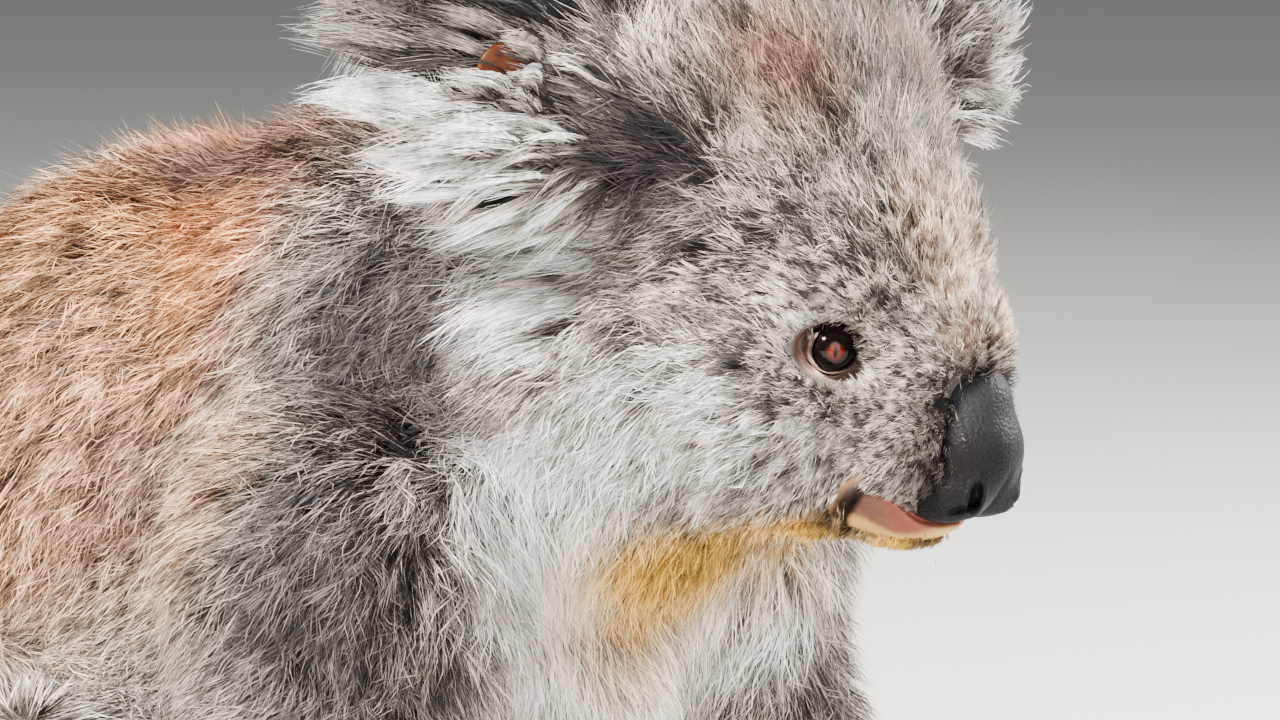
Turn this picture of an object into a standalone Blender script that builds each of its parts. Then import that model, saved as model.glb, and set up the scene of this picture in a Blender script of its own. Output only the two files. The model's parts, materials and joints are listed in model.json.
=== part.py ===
"""A life-size koala, sitting hunched on a floor with its hands planted in front of it.

The solids reach out to the tips of the coat. Metres, +Z up, the animal faces +X, and the
origin is on the floor below the middle of the body. The trunk and each limb are modelled
whole, from rounded masses that are fused and smoothed, and are then parted with thin cuts.
"""

import math

import bmesh
import bpy
from mathutils import Matrix, Vector

GAP = 0.0003                    # clear space between two solids that meet
FLOOR_SINK = 0.2                # depth of the block that trims the soles flat

# Head: its own frame has its origin midway between the eyes, +X forward and +Z up.
EYE_LEVEL = Vector((0.185, 0.0, 0.285))
HEAD_YAW = math.radians(-8)     # the face is turned a little to the animal's right
HEAD_PITCH = math.radians(4)    # and a little down
EYE_SPACING = 0.060
EYE_RADIUS = 0.0085
EYE_AIM = math.radians(44)      # how far each eye looks out to its side

# Ears: base, the way the ear points and the way its cup faces, in the head's frame.
EAR_RADIUS = 0.039
EARS = {
    "left": {"base": (-0.062, 0.052, 0.068), "point": (-0.06, 0.80, 0.58), "face": (0.93, 0.10, 0.20),
             "fringe": 0.018, "droop": 0.0},
    "right": {"base": (-0.070, -0.050, 0.066), "point": (-0.66, -0.68, 0.22), "face": (0.55, -0.66, 0.30),
              "fringe": 0.038, "droop": 0.35},
}

# Limbs: joint places. The left arm is planted a little ahead of the right one.
ARMS = {
    "left": {"shoulder": (0.058, 0.082, 0.210), "elbow": (0.062, 0.118, 0.125),
             "wrist": (0.120, 0.105, 0.046), "palm": (0.156, 0.102, 0.020)},
    "right": {"shoulder": (0.040, -0.086, 0.206), "elbow": (0.047, -0.121, 0.122),
              "wrist": (0.105, -0.108, 0.046), "palm": (0.140, -0.105, 0.020)},
}
LEGS = {
    "left": {"hip": (-0.118, 0.085, 0.105), "knee": (-0.045, 0.148, 0.133),
             "ankle": (-0.050, 0.152, 0.042), "toes": (0.040, 0.160, 0.021)},
    "right": {"hip": (-0.118, -0.085, 0.105), "knee": (-0.045, -0.148, 0.133),
              "ankle": (-0.050, -0.152, 0.042), "toes": (0.040, -0.160, 0.021)},
}
SIDES = {"left": 1, "right": -1}

HAND_DIGITS = (
    # angle from straight ahead (outwards is positive), length, radius
    (-62, 0.026, 0.0095),
    (-34, 0.030, 0.0100),
    (-2, 0.036, 0.0105),
    (16, 0.037, 0.0105),
    (36, 0.033, 0.0100),
)
FOOT_DIGITS = (
    (-74, 0.028, 0.0120),
    (-16, 0.030, 0.0085),
    (-4, 0.031, 0.0085),
    (12, 0.036, 0.0115),
    (30, 0.034, 0.0115),
)
CLAWLESS_TOE = 0                # a koala's innermost toe carries no claw
HAND_CLAW = {"length": 0.024, "radius": 0.0034}
FOOT_CLAW = {"length": 0.022, "radius": 0.0036}

# Cuts between the parts: a place on each plane and the way it faces.
HEAD_CUT = ((0.102, 0, 0.290), (0.905, 0, 0.425))
NECK_CUT = ((0.060, 0, 0.278), (0.794, 0, 0.608))
ABDOMEN_CUT = ((-0.040, 0, 0.190), (-0.88, 0, -0.47))
RUMP_CUT = ((-0.120, 0, 0.120), (-0.75, 0, -0.66))

COLOURS = {
    "coat": (0.36, 0.33, 0.31),
    "pale_coat": (0.62, 0.59, 0.55),
    "back_coat": (0.40, 0.28, 0.20),
    "nose": (0.035, 0.033, 0.036),
    "eye": (0.10, 0.035, 0.015),
    "lip": (0.62, 0.33, 0.28),
    "claw": (0.045, 0.040, 0.036),
    "tag": (0.75, 0.24, 0.05),
}


def start_empty():
    for obj in list(bpy.data.objects):
        bpy.data.objects.remove(obj)


def material(name, roughness=0.85):
    found = bpy.data.materials.get(name)
    if found:
        return found
    made = bpy.data.materials.new(name)
    made.use_nodes = True
    shader = made.node_tree.nodes["Principled BSDF"]
    shader.inputs["Base Color"].default_value = (*COLOURS[name], 1.0)
    shader.inputs["Roughness"].default_value = roughness
    shader.inputs["Metallic"].default_value = 0.0
    return made


def head_frame():
    turn = Matrix.Rotation(HEAD_YAW, 4, "Z") @ Matrix.Rotation(HEAD_PITCH, 4, "Y")
    return Matrix.Translation(EYE_LEVEL) @ turn


def basis(x_axis, z_hint):
    """A rotation whose X runs along x_axis, with Z as near z_hint as it can be."""
    x = Vector(x_axis).normalized()
    y = Vector(z_hint).cross(x).normalized()
    z = x.cross(y)
    return Matrix((x, y, z)).transposed().to_4x4()


def ball(mesh, centre, radii, frame=Matrix.Identity(4), turn=Matrix.Identity(4), segments=28):
    """Adds one rounded mass: a ball stretched to radii, turned, then placed in frame."""
    size = Matrix.Diagonal((*radii, 1.0))
    place = frame @ Matrix.Translation(centre) @ turn @ size
    bmesh.ops.create_uvsphere(mesh, u_segments=segments, v_segments=segments // 2 + 1, radius=1.0, matrix=place)


def limb(mesh, start, end, start_radius, end_radius, rounded=True):
    """Adds a tapered length of limb. Its ends are rounded, or else its start is left flat."""
    start, end = Vector(start), Vector(end)
    along = end - start
    place = Matrix.Translation((start + end) / 2) @ along.to_track_quat("Z", "Y").to_matrix().to_4x4()
    bmesh.ops.create_cone(mesh, cap_ends=True, segments=24, radius1=start_radius, radius2=end_radius,
                          depth=along.length, matrix=place)
    ball(mesh, end, (end_radius,) * 3)
    if rounded:
        ball(mesh, start, (start_radius,) * 3)


def evaluated(obj):
    """Replaces the object's mesh with what its modifiers make of it."""
    graph = bpy.context.evaluated_depsgraph_get()
    made = bpy.data.meshes.new_from_object(obj.evaluated_get(graph))
    obj.modifiers.clear()
    obj.data = made
    return obj


def new_object(name, mesh):
    data = bpy.data.meshes.new(name)
    bmesh.ops.recalc_face_normals(mesh, faces=mesh.faces)
    mesh.to_mesh(data)
    mesh.free()
    obj = bpy.data.objects.new(name, data)
    bpy.context.scene.collection.objects.link(obj)
    return obj


def fused(name, mesh, voxel, smoothing, triangles):
    """One closed, smoothed skin round all the masses in mesh, thinned to about triangles."""
    obj = new_object(name, mesh)
    remesh = obj.modifiers.new("Fuse", "REMESH")
    remesh.mode = "VOXEL"
    remesh.voxel_size = voxel
    smooth = obj.modifiers.new("Smooth", "SMOOTH")
    smooth.factor = 0.5
    smooth.iterations = smoothing
    evaluated(obj)
    count = sum(len(face.vertices) - 2 for face in obj.data.polygons)
    thin = obj.modifiers.new("Thin", "DECIMATE")
    thin.ratio = min(1.0, triangles / count)
    thin.use_collapse_triangulate = True
    return evaluated(obj)


def grown(obj, by=GAP):
    """A helper copy of the object, larger by a thin layer all over."""
    copy = bpy.data.objects.new(obj.name + "_grown", obj.data.copy())
    bpy.context.scene.collection.objects.link(copy)
    layer = copy.modifiers.new("Layer", "DISPLACE")
    layer.strength = by
    layer.mid_level = 0.0
    evaluated(copy)
    copy.hide_render = True
    copy.display_type = "WIRE"
    return copy


def drop_crumbs(obj):
    """Keeps the largest body of a cut mesh and drops the crumbs beside it."""
    mesh = bmesh.new()
    mesh.from_mesh(obj.data)
    unseen, bodies = set(mesh.verts), []
    while unseen:
        body, edge = set(), {unseen.pop()}
        while edge:
            body |= edge
            edge = {e.other_vert(v) for v in edge for e in v.link_edges} - body
        unseen -= body
        bodies.append(body)
    largest = max(bodies, key=len)
    bmesh.ops.delete(mesh, geom=[v for v in mesh.verts if v not in largest], context="VERTS")
    mesh.to_mesh(obj.data)
    mesh.free()


def combine(obj, other, operation):
    boolean = obj.modifiers.new(operation.title(), "BOOLEAN")
    boolean.operation = operation
    boolean.object = other
    boolean.solver = "EXACT"
    evaluated(obj)
    bpy.data.objects.remove(other)
    drop_crumbs(obj)
    return obj


def make_room(obj, *neighbours):
    """Cuts the object back to the thin gap round each neighbour."""
    for neighbour in neighbours:
        combine(obj, grown(neighbour), "DIFFERENCE")
    return obj


def carve(obj, name, region):
    """Takes the part of the object inside region out as a new object, past a thin gap."""
    taken = bpy.data.objects.new(name, obj.data.copy())
    bpy.context.scene.collection.objects.link(taken)
    combine(obj, grown(region), "DIFFERENCE")
    combine(taken, region, "INTERSECT")
    return taken


def trim_to_floor(obj):
    """Cuts off what lies under the floor, which leaves the flats that the animal rests on."""
    block = bmesh.new()
    bmesh.ops.create_cube(block, size=1.0, matrix=Matrix.Translation((0, 0, -FLOOR_SINK / 2))
                          @ Matrix.Diagonal((2.0, 2.0, FLOOR_SINK, 1.0)))
    return combine(obj, new_object("floor_block", block), "DIFFERENCE")


def half_space(point, normal, offset):
    """A large block whose one face is the plane, moved along its normal by offset."""
    normal = Vector(normal).normalized()
    size = 2.0
    middle = Vector(point) + normal * (offset + size / 2)
    block = bmesh.new()
    bmesh.ops.create_cube(block, size=size, matrix=Matrix.Translation(middle)
                          @ normal.to_track_quat("Z", "Y").to_matrix().to_4x4())
    return new_object("half_space", block)


def part_off(obj, name, point, normal):
    """Parts the object with a thin cut. What lies beyond the plane becomes a new object."""
    beyond = bpy.data.objects.new(name, obj.data.copy())
    bpy.context.scene.collection.objects.link(beyond)
    combine(beyond, half_space(point, normal, GAP / 2), "INTERSECT")
    combine(obj, half_space(point, normal, -GAP / 2), "DIFFERENCE")
    return beyond


def finish(obj, finish_name, roughness=0.85):
    obj.data.materials.clear()
    obj.data.materials.append(material(finish_name, roughness))
    obj.data.shade_smooth()
    obj.data.set_sharp_from_angle(angle=math.radians(40))


# ---------------------------------------------------------------- head


def add_head(mesh):
    """Skull, brow, bridge, muzzle and cheeks, out to the tips of their fur."""
    frame = head_frame()
    ball(mesh, (-0.058, 0, 0.040), (0.062, 0.067, 0.071), frame)        # cranium
    ball(mesh, (-0.016, 0, 0.023), (0.039, 0.047, 0.043), frame)        # brow
    ball(mesh, (0.011, 0, 0.000), (0.028, 0.029, 0.030), frame)         # bridge of the nose
    ball(mesh, (0.004, 0, -0.025), (0.034, 0.038, 0.023), frame)        # muzzle
    ball(mesh, (-0.028, 0, -0.046), (0.032, 0.032, 0.021), frame)       # fur under the chin
    ball(mesh, (-0.084, 0, 0.004), (0.050, 0.068, 0.064), frame)        # nape
    for side in SIDES.values():
        ball(mesh, (-0.002, 0.016 * side, -0.028), (0.036, 0.024, 0.021), frame)    # whisker pad
        ball(mesh, (-0.034, 0.038 * side, -0.022), (0.044, 0.034, 0.040), frame)    # cheek
        ball(mesh, (-0.062, 0.048 * side, -0.026), (0.040, 0.036, 0.044), frame)    # cheek fluff
        ball(mesh, (-0.062, 0.042 * side, 0.064), (0.036, 0.034, 0.038), frame)     # root of the ear


def make_jaw():
    """Lower jaw and lip, which show below the muzzle."""
    frame = head_frame()
    mesh = bmesh.new()
    tilt = Matrix.Rotation(math.radians(-8), 4, "Y")
    ball(mesh, (0.006, 0, -0.0518), (0.022, 0.020, 0.012), frame, tilt)   # lip
    ball(mesh, (-0.008, 0, -0.0502), (0.020, 0.021, 0.013), frame, tilt)  # chin
    return fused("jaw", mesh, voxel=0.002, smoothing=6, triangles=160)


def make_nose():
    """The bare leathery nose, narrow at its top and broad at the nostrils."""
    frame = head_frame()
    mesh = bmesh.new()
    ball(mesh, (0.0265, 0, -0.0155), (0.0150, 0.0125, 0.0140), frame)
    ball(mesh, (0.0275, 0, -0.0285), (0.0180, 0.0165, 0.0175), frame)
    for side in (1, -1):
        ball(mesh, (0.0255, 0.0075 * side, -0.0410), (0.0165, 0.0100, 0.0100), frame)
    return fused("nose", mesh, voxel=0.0015, smoothing=5, triangles=200)


def eye_centre(side):
    return Vector((-0.0030, EYE_SPACING / 2 * side, 0.0))


def eye_gaze(side):
    return Vector((math.cos(EYE_AIM), math.sin(EYE_AIM) * side, 0.0))


def make_eye(name, side):
    mesh = bmesh.new()
    place = head_frame() @ Matrix.Translation(eye_centre(side))
    bmesh.ops.create_icosphere(mesh, subdivisions=2, radius=EYE_RADIUS, matrix=place)
    return new_object(name, mesh)


def open_eye(head, side):
    """Opens the fur in front of the eye, in the shape of its lids."""
    mesh = bmesh.new()
    ball(mesh, eye_centre(side) + eye_gaze(side) * 0.013, (0.013, 0.0085, 0.0065),
         head_frame(), basis(eye_gaze(side), (0, 0, 1)), segments=12)
    combine(head, new_object("eye_opening", mesh), "DIFFERENCE")


def make_ear(name, shape):
    """A round ear, thickened by its fur, with longer locks at its rim."""
    frame = head_frame()
    point, face = Vector(shape["point"]).normalized(), Vector(shape["face"])
    turn = basis(point, face)
    base = Vector(shape["base"])
    across = turn.col[1].xyz
    middle = base + point * 0.030
    mesh = bmesh.new()
    ball(mesh, middle, (EAR_RADIUS, EAR_RADIUS, 0.019), frame, turn)
    locks = 11
    for lock in range(locks):
        angle = math.radians(-105 + 210 * lock / (locks - 1))
        outward = point * math.cos(angle) + across * math.sin(angle)
        fullness = 0.75 + 0.25 * math.cos(angle) + 0.12 * math.cos(lock * 2.4)
        length = shape["fringe"] * (fullness - shape["droop"] * max(0.0, -outward.z))
        centre = middle + outward * (EAR_RADIUS * 0.55 + length * 0.5)
        ball(mesh, centre, (EAR_RADIUS * 0.45 + length * 0.5, 0.0130, 0.0115), frame, basis(outward, face))
    return fused(name, mesh, voxel=0.0025, smoothing=4, triangles=300)


def make_tag():
    """A plain round ear tag, a thin disc with a raised middle, set in the right ear."""
    frame = head_frame()
    shape = EARS["right"]
    lean = Vector((0.28, 0.24, -0.26))      # its lower front edge lies deepest in the coat
    turn = basis(Vector(shape["face"]).normalized() + lean, Vector(shape["point"]))
    centre = Vector(shape["base"]) + Vector(shape["point"]).normalized() * 0.042
    centre += Vector(shape["face"]).normalized() * 0.0170 + Vector((0.004, 0, -0.004))
    mesh = bmesh.new()
    to_face = frame @ Matrix.Translation(centre) @ turn @ Matrix.Rotation(math.radians(90), 4, "Y")
    bmesh.ops.create_cone(mesh, cap_ends=True, segments=14, radius1=0.0095, radius2=0.0090, depth=0.0026,
                          matrix=to_face)
    return new_object("ear_tag", mesh)


# ---------------------------------------------------------------- body


def add_trunk(mesh):
    """Neck, shoulders, chest, belly and rump, which run into one rounded back."""
    ball(mesh, (-0.140, 0, 0.108), (0.104, 0.120, 0.114))     # rump
    ball(mesh, (-0.146, 0, 0.150), (0.098, 0.114, 0.108))     # small of the back
    ball(mesh, (-0.118, 0, 0.180), (0.102, 0.110, 0.114))     # loin
    ball(mesh, (-0.040, 0, 0.150), (0.108, 0.112, 0.126))     # belly
    ball(mesh, (-0.070, 0, 0.228), (0.124, 0.108, 0.114))     # rib cage
    ball(mesh, (0.010, 0, 0.266), (0.095, 0.102, 0.094))      # nape and upper back
    ball(mesh, (0.034, 0, 0.182), (0.060, 0.080, 0.085))      # chest
    ball(mesh, (0.080, 0, 0.264), (0.078, 0.084, 0.074))      # neck
    for side in SIDES.values():
        ball(mesh, (-0.115, 0.070 * side, 0.100), (0.080, 0.070, 0.085))    # haunch


def digit_heading(angle, side):
    return Vector((math.cos(math.radians(angle)), math.sin(math.radians(angle)) * side, 0.0))


def digit_ends(root, digits, side):
    """(start, end, heading, radius) of each digit of a hand or foot, resting on the floor."""
    root = Vector(root)
    for angle, length, radius in digits:
        heading = digit_heading(angle, side)
        start = root + heading * 0.012
        start.z = radius + 0.006
        end = root + heading * (0.012 + length)
        end.z = radius - 0.0012
        yield start, end, heading, radius


def add_arm(mesh, arm, side):
    ball(mesh, arm["shoulder"], (0.062, 0.058, 0.066))
    limb(mesh, arm["shoulder"], arm["elbow"], 0.052, 0.043)
    limb(mesh, arm["elbow"], arm["wrist"], 0.042, 0.032)
    limb(mesh, arm["wrist"], arm["palm"], 0.031, 0.020)
    ball(mesh, arm["palm"], (0.031, 0.030, 0.0215))
    for start, end, _, radius in digit_ends(arm["palm"], HAND_DIGITS, side):
        limb(mesh, start, end, radius * 1.05, radius)


def add_leg(mesh, leg, side):
    heel = Vector(leg["ankle"]) - Vector((0.0, 0.0, 0.014))
    limb(mesh, leg["hip"], leg["knee"], 0.080, 0.050)
    limb(mesh, leg["knee"], leg["ankle"], 0.049, 0.036)
    limb(mesh, heel, leg["toes"], 0.029, 0.023)
    ball(mesh, leg["toes"], (0.030, 0.029, 0.0215))
    for start, end, _, radius in digit_ends(leg["toes"], FOOT_DIGITS, side):
        limb(mesh, start, end, radius * 1.05, radius)


def arm_region(arm, side):
    """A loose sleeve round the whole arm, flat across the top of the shoulder."""
    shoulder = Vector(arm["shoulder"]) + Vector((0.0, 0.024 * side, 0.016))
    elbow, fingers = Vector(arm["elbow"]), Vector(arm["palm"]) + Vector((0.014, 0, 0))
    mesh = bmesh.new()
    limb(mesh, shoulder, elbow, 0.066, 0.055, rounded=False)
    limb(mesh, elbow, arm["wrist"], 0.055, 0.044)
    limb(mesh, arm["wrist"], fingers, 0.044, 0.046)
    ball(mesh, fingers, (0.064, 0.064, 0.050))
    return fused("arm_region", mesh, voxel=0.005, smoothing=2, triangles=130)


def leg_region(leg, side):
    """A loose sleeve round the whole leg, which sets where it parts from the trunk."""
    outward = Vector((0.0, 0.022 * side, 0.0))
    hip, toes = Vector(leg["hip"]) + outward, Vector(leg["toes"]) + Vector((0.010, 0, 0))
    mesh = bmesh.new()
    limb(mesh, hip, leg["knee"], 0.070, 0.057)
    ball(mesh, Vector(leg["hip"]) + outward * 2, (0.075, 0.060, 0.080))
    limb(mesh, leg["knee"], leg["ankle"], 0.057, 0.050)
    limb(mesh, leg["ankle"], toes, 0.050, 0.046)
    ball(mesh, toes, (0.066, 0.060, 0.050))
    return fused("leg_region", mesh, voxel=0.006, smoothing=6, triangles=110)


def make_claw(name, tip_of_digit, heading, radius_of_digit, length, radius):
    """A claw that leaves the top of the digit's end and curves down to the floor."""
    rings, around = 4, 6
    mesh = bmesh.new()
    sideways = Vector((-heading.y, heading.x, 0.0))
    centre = tip_of_digit + heading * radius_of_digit * 0.30
    centre.z = radius_of_digit * 1.20
    bow_start, bow_end = math.radians(14), math.radians(-58)
    loops = []
    for ring in range(rings):
        share = ring / rings
        pitch = bow_start + (bow_end - bow_start) * share
        along = heading * math.cos(pitch) + Vector((0, 0, math.sin(pitch)))
        upward = sideways.cross(along) * -1.0
        thickness = radius * (1.0 - share) ** 0.75
        loops.append([
            mesh.verts.new(centre + sideways * math.cos(turn) * thickness * 0.8 + upward * math.sin(turn) * thickness)
            for turn in (2 * math.pi * k / around for k in range(around))
        ])
        centre = centre + along * (length / rings)
    tip = mesh.verts.new(centre)
    for lower, upper in zip(loops, loops[1:]):
        for k in range(around):
            n = (k + 1) % around
            mesh.faces.new((lower[k], lower[n], upper[n], upper[k]))
    for k in range(around):
        mesh.faces.new((loops[-1][k], loops[-1][(k + 1) % around], tip))
    mesh.faces.new(reversed(loops[0]))
    return new_object(name, mesh)


def make_claws(kind, side_name, side, root, digits, size, clawless=()):
    made = []
    for number, (_, end, heading, radius) in enumerate(digit_ends(root, digits, side)):
        if number in clawless:
            continue
        name = f"{kind}_claw_{side_name}_{number + 1}"
        made.append(make_claw(name, end, heading, radius, size["length"], size["radius"]))
    return made


# ---------------------------------------------------------------- the whole animal


def build_whole():
    """The whole coat as one smooth body, flat where it rests on the floor."""
    mesh = bmesh.new()
    add_trunk(mesh)
    add_head(mesh)
    for name, side in SIDES.items():
        add_arm(mesh, ARMS[name], side)
        add_leg(mesh, LEGS[name], side)
    return trim_to_floor(fused("chest", mesh, voxel=0.003, smoothing=10, triangles=2480))


def build_limbs(trunk):
    for name, side in SIDES.items():
        arm, leg = ARMS[name], LEGS[name]
        shoulder, elbow, wrist, palm = (Vector(arm[key]) for key in ("shoulder", "elbow", "wrist", "palm"))
        knee, ankle, toes = (Vector(leg[key]) for key in ("knee", "ankle", "toes"))
        thigh = carve(trunk, "thigh_" + name, leg_region(leg, side))
        upper_arm = carve(trunk, "upper_arm_" + name, arm_region(arm, side))
        claws = make_claws("hand", name, side, palm, HAND_DIGITS, HAND_CLAW)
        foot_claws = make_claws("foot", name, side, toes, FOOT_DIGITS, FOOT_CLAW, (CLAWLESS_TOE,))
        forearm = part_off(upper_arm, "forearm_" + name, elbow, (wrist - elbow) + (elbow - shoulder))
        hand = part_off(forearm, "hand_" + name, wrist, (1.0, 0.0, -0.35))
        shank = part_off(thigh, "shank_" + name, knee + Vector((-0.006, 0, -0.014)), (0.85, 0.0, -0.53))
        foot = part_off(shank, "foot_" + name, ankle + Vector((0.012, 0, 0)), (0.55, 0.0, -0.83))
        make_room(hand, *claws)
        make_room(foot, *foot_claws)
        for piece in (upper_arm, forearm, hand, thigh, shank, foot):
            finish(piece, "coat")
        for claw in claws + foot_claws:
            finish(claw, "claw", 0.35)


def build_head(trunk):
    head = part_off(trunk, "head", *HEAD_CUT)
    jaw, nose, tag = make_jaw(), make_nose(), make_tag()
    eyes = [make_eye("eye_" + name, side) for name, side in SIDES.items()]
    make_room(head, jaw, nose, *eyes)
    make_room(jaw, nose)
    make_room(trunk, jaw)
    for side in SIDES.values():
        open_eye(head, side)
    for name, shape in EARS.items():
        ear = make_room(make_ear("ear_" + name, shape), head, trunk)
        if name == "right":
            make_room(ear, tag)
        finish(ear, "pale_coat")
    finish(head, "coat")
    finish(jaw, "lip")
    finish(nose, "nose", 0.45)
    for eye in eyes:
        finish(eye, "eye", 0.1)
    finish(tag, "tag", 0.4)


def part_trunk(trunk):
    """Thin cuts across the trunk, square to the curve of the spine."""
    neck = part_off(trunk, "neck", *NECK_CUT)
    abdomen = part_off(trunk, "abdomen", *ABDOMEN_CUT)
    rump = part_off(abdomen, "rump", *RUMP_CUT)
    finish(trunk, "coat")
    finish(neck, "pale_coat")
    for piece in (abdomen, rump):
        finish(piece, "back_coat")


def centre_all():
    """Moves the whole animal so that its outer box is centred over the origin."""
    corners = [vertex.co for obj in bpy.data.objects for vertex in obj.data.vertices]
    middle = Vector((
        (min(c.x for c in corners) + max(c.x for c in corners)) / 2,
        (min(c.y for c in corners) + max(c.y for c in corners)) / 2,
        0.0,
    ))
    for obj in bpy.data.objects:
        obj.data.transform(Matrix.Translation(-middle))


def main():
    start_empty()
    trunk = build_whole()
    build_limbs(trunk)
    build_head(trunk)
    part_trunk(trunk)
    centre_all()


main()
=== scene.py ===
"""A life-size koala with a full coat of tufts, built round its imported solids.

The solids reach out to the tips of the coat. One skin lies inside them by the depth of the
coat, and the tufts grow from it. Metres, +Z up, the body faces +X.
"""

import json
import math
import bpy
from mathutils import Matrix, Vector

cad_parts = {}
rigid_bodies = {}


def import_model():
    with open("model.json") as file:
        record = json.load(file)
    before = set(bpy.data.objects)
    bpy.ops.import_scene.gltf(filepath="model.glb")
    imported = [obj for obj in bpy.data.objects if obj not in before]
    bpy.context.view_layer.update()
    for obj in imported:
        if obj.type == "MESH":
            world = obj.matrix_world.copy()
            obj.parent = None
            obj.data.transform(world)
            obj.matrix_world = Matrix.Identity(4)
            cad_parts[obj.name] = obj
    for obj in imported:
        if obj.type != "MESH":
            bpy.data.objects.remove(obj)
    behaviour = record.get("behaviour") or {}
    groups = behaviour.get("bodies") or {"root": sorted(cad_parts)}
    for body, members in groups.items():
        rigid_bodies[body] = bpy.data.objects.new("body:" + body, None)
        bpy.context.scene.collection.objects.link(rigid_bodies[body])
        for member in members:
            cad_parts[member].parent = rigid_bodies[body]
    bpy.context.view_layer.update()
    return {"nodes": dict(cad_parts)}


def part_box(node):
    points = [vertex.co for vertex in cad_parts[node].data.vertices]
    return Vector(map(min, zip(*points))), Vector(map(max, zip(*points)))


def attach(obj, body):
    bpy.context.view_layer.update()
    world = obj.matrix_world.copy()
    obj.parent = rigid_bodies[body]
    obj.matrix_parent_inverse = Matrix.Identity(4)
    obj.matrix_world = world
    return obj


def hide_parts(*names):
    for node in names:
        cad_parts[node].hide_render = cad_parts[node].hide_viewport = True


bl_info = {
    "name": "Koala",
    "version": (1, 0, 0),
    "blender": (4, 5, 0),
    "location": "3D View > Sidebar > Koala",
    "description": "Builds the skin, coat, eyes, nose, claws and ear tag of a sitting koala",
    "category": "Object",
}

import bpy
import numpy as np
from bpy.props import FloatProperty, FloatVectorProperty, IntProperty, PointerProperty
from mathutils import Matrix, Vector, kdtree
from mathutils.bvhtree import BVHTree

for leftover in list(bpy.data.objects):
    bpy.data.objects.remove(leftover)
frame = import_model()
NODES = frame["nodes"]
BODY = "root"

# The head's own frame: origin midway between the eyes, +X forward, +Y to its left.
HEAD_PITCH = math.radians(4)
EYE_SETBACK = 0.003
EYE_AIM = math.radians(44)
SIDES = {"left": 1, "right": -1}
# Where each ear is rooted, the ways it points and faces, and its hair: its length at the back, how
# much longer it is in front, and how far it stands off there.
EARS = {
    "left": {"base": (-0.062, 0.052, 0.068), "point": (-0.06, 0.80, 0.58), "face": (0.93, 0.10, 0.20),
             "hair": (0.014, 0.009, 0.008)},
    "right": {"base": (-0.070, -0.050, 0.066), "point": (-0.66, -0.68, 0.22), "face": (0.55, -0.66, 0.30),
              "hair": (0.026, 0.046, 0.0135)},
}
EYE_OPENING = (0.0064, 0.0043)  # half the length and half the height of the gap between the lids
EAR_MIDDLE = 0.030              # from the ear's base to the middle of its cup
WHORL = np.array((-0.045, 0.058, 0.052))    # where the coat parts in front of the left ear
NOSTRIL = np.array((0.0395, 0.0100, -0.0415))
NOSE_TOP = np.array((0.046, 0.0, -0.012))   # the coat of the face flows away from here
NOSE_FRONT = (0.036, 0.0, -0.016)           # hair grows longer with its distance from here
NOSE_MIDDLE = (0.012, 0.0, -0.026)
MOUTH_PEAK = (0.012, -0.0410)               # how far forward and up the line between the lips peaks
MOUTH_CORNER = (0.006, -0.031, -0.0440)
MOUTH_BACK = -0.006                         # the bare lips reach back to here
LIP_FOOT = -0.0575                          # hair starts again below this on the chin

BARE_NODES = ("eye_", "nose", "hand_claw", "foot_claw", "ear_tag")
FLESH = [name for name in NODES if not name.startswith(BARE_NODES)]
TRUNK = ("neck", "chest", "abdomen", "rump")
ARM, LEG = ("upper_arm", "forearm", "hand"), ("thigh", "shank", "foot")

# Each part's coat: its depth, the length of its hair and the width of each hair in metres, hairs
# to a square millimetre before the budget, and the way it lies.
COAT = {
    "head": (0.012, 0.016, 0.00055, 1.30, (-1.0, 0.0, -0.2)),
    "jaw": (0.0012, 0.0024, 0.00028, 3.20, (-0.6, 0.0, -0.6)),
    "neck": (0.015, 0.0215, 0.00042, 0.66, (-0.62, 0.0, -0.78)),
    "chest": (0.015, 0.0215, 0.00042, 0.66, (-0.40, 0.0, -0.90)),
    "abdomen": (0.015, 0.0200, 0.00044, 0.62, (-0.12, 0.0, -1.0)),
    "rump": (0.015, 0.0200, 0.00070, 0.36, (-0.30, 0.0, -1.0)),
    "ear_left": (0.006, 0.022, 0.00034, 2.60, (0.0, 1.0, 0.4)),
    "ear_right": (0.006, 0.045, 0.00034, 5.00, (-0.7, -0.7, 0.0)),
    "upper_arm": (0.013, 0.0190, 0.00044, 0.55, (-0.35, 0.0, -1.0)),
    "forearm": (0.010, 0.018, 0.00065, 0.42, (0.30, 0.0, -0.95)),
    "hand": (0.0035, 0.007, 0.00060, 0.90, (0.90, 0.0, -0.25)),
    "thigh": (0.013, 0.0190, 0.00070, 0.34, (-0.20, 0.0, -1.0)),
    "shank": (0.010, 0.018, 0.00075, 0.36, (0.10, 0.0, -1.0)),
    "foot": (0.0035, 0.008, 0.00060, 0.90, (0.95, 0.0, -0.15)),
}

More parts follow.
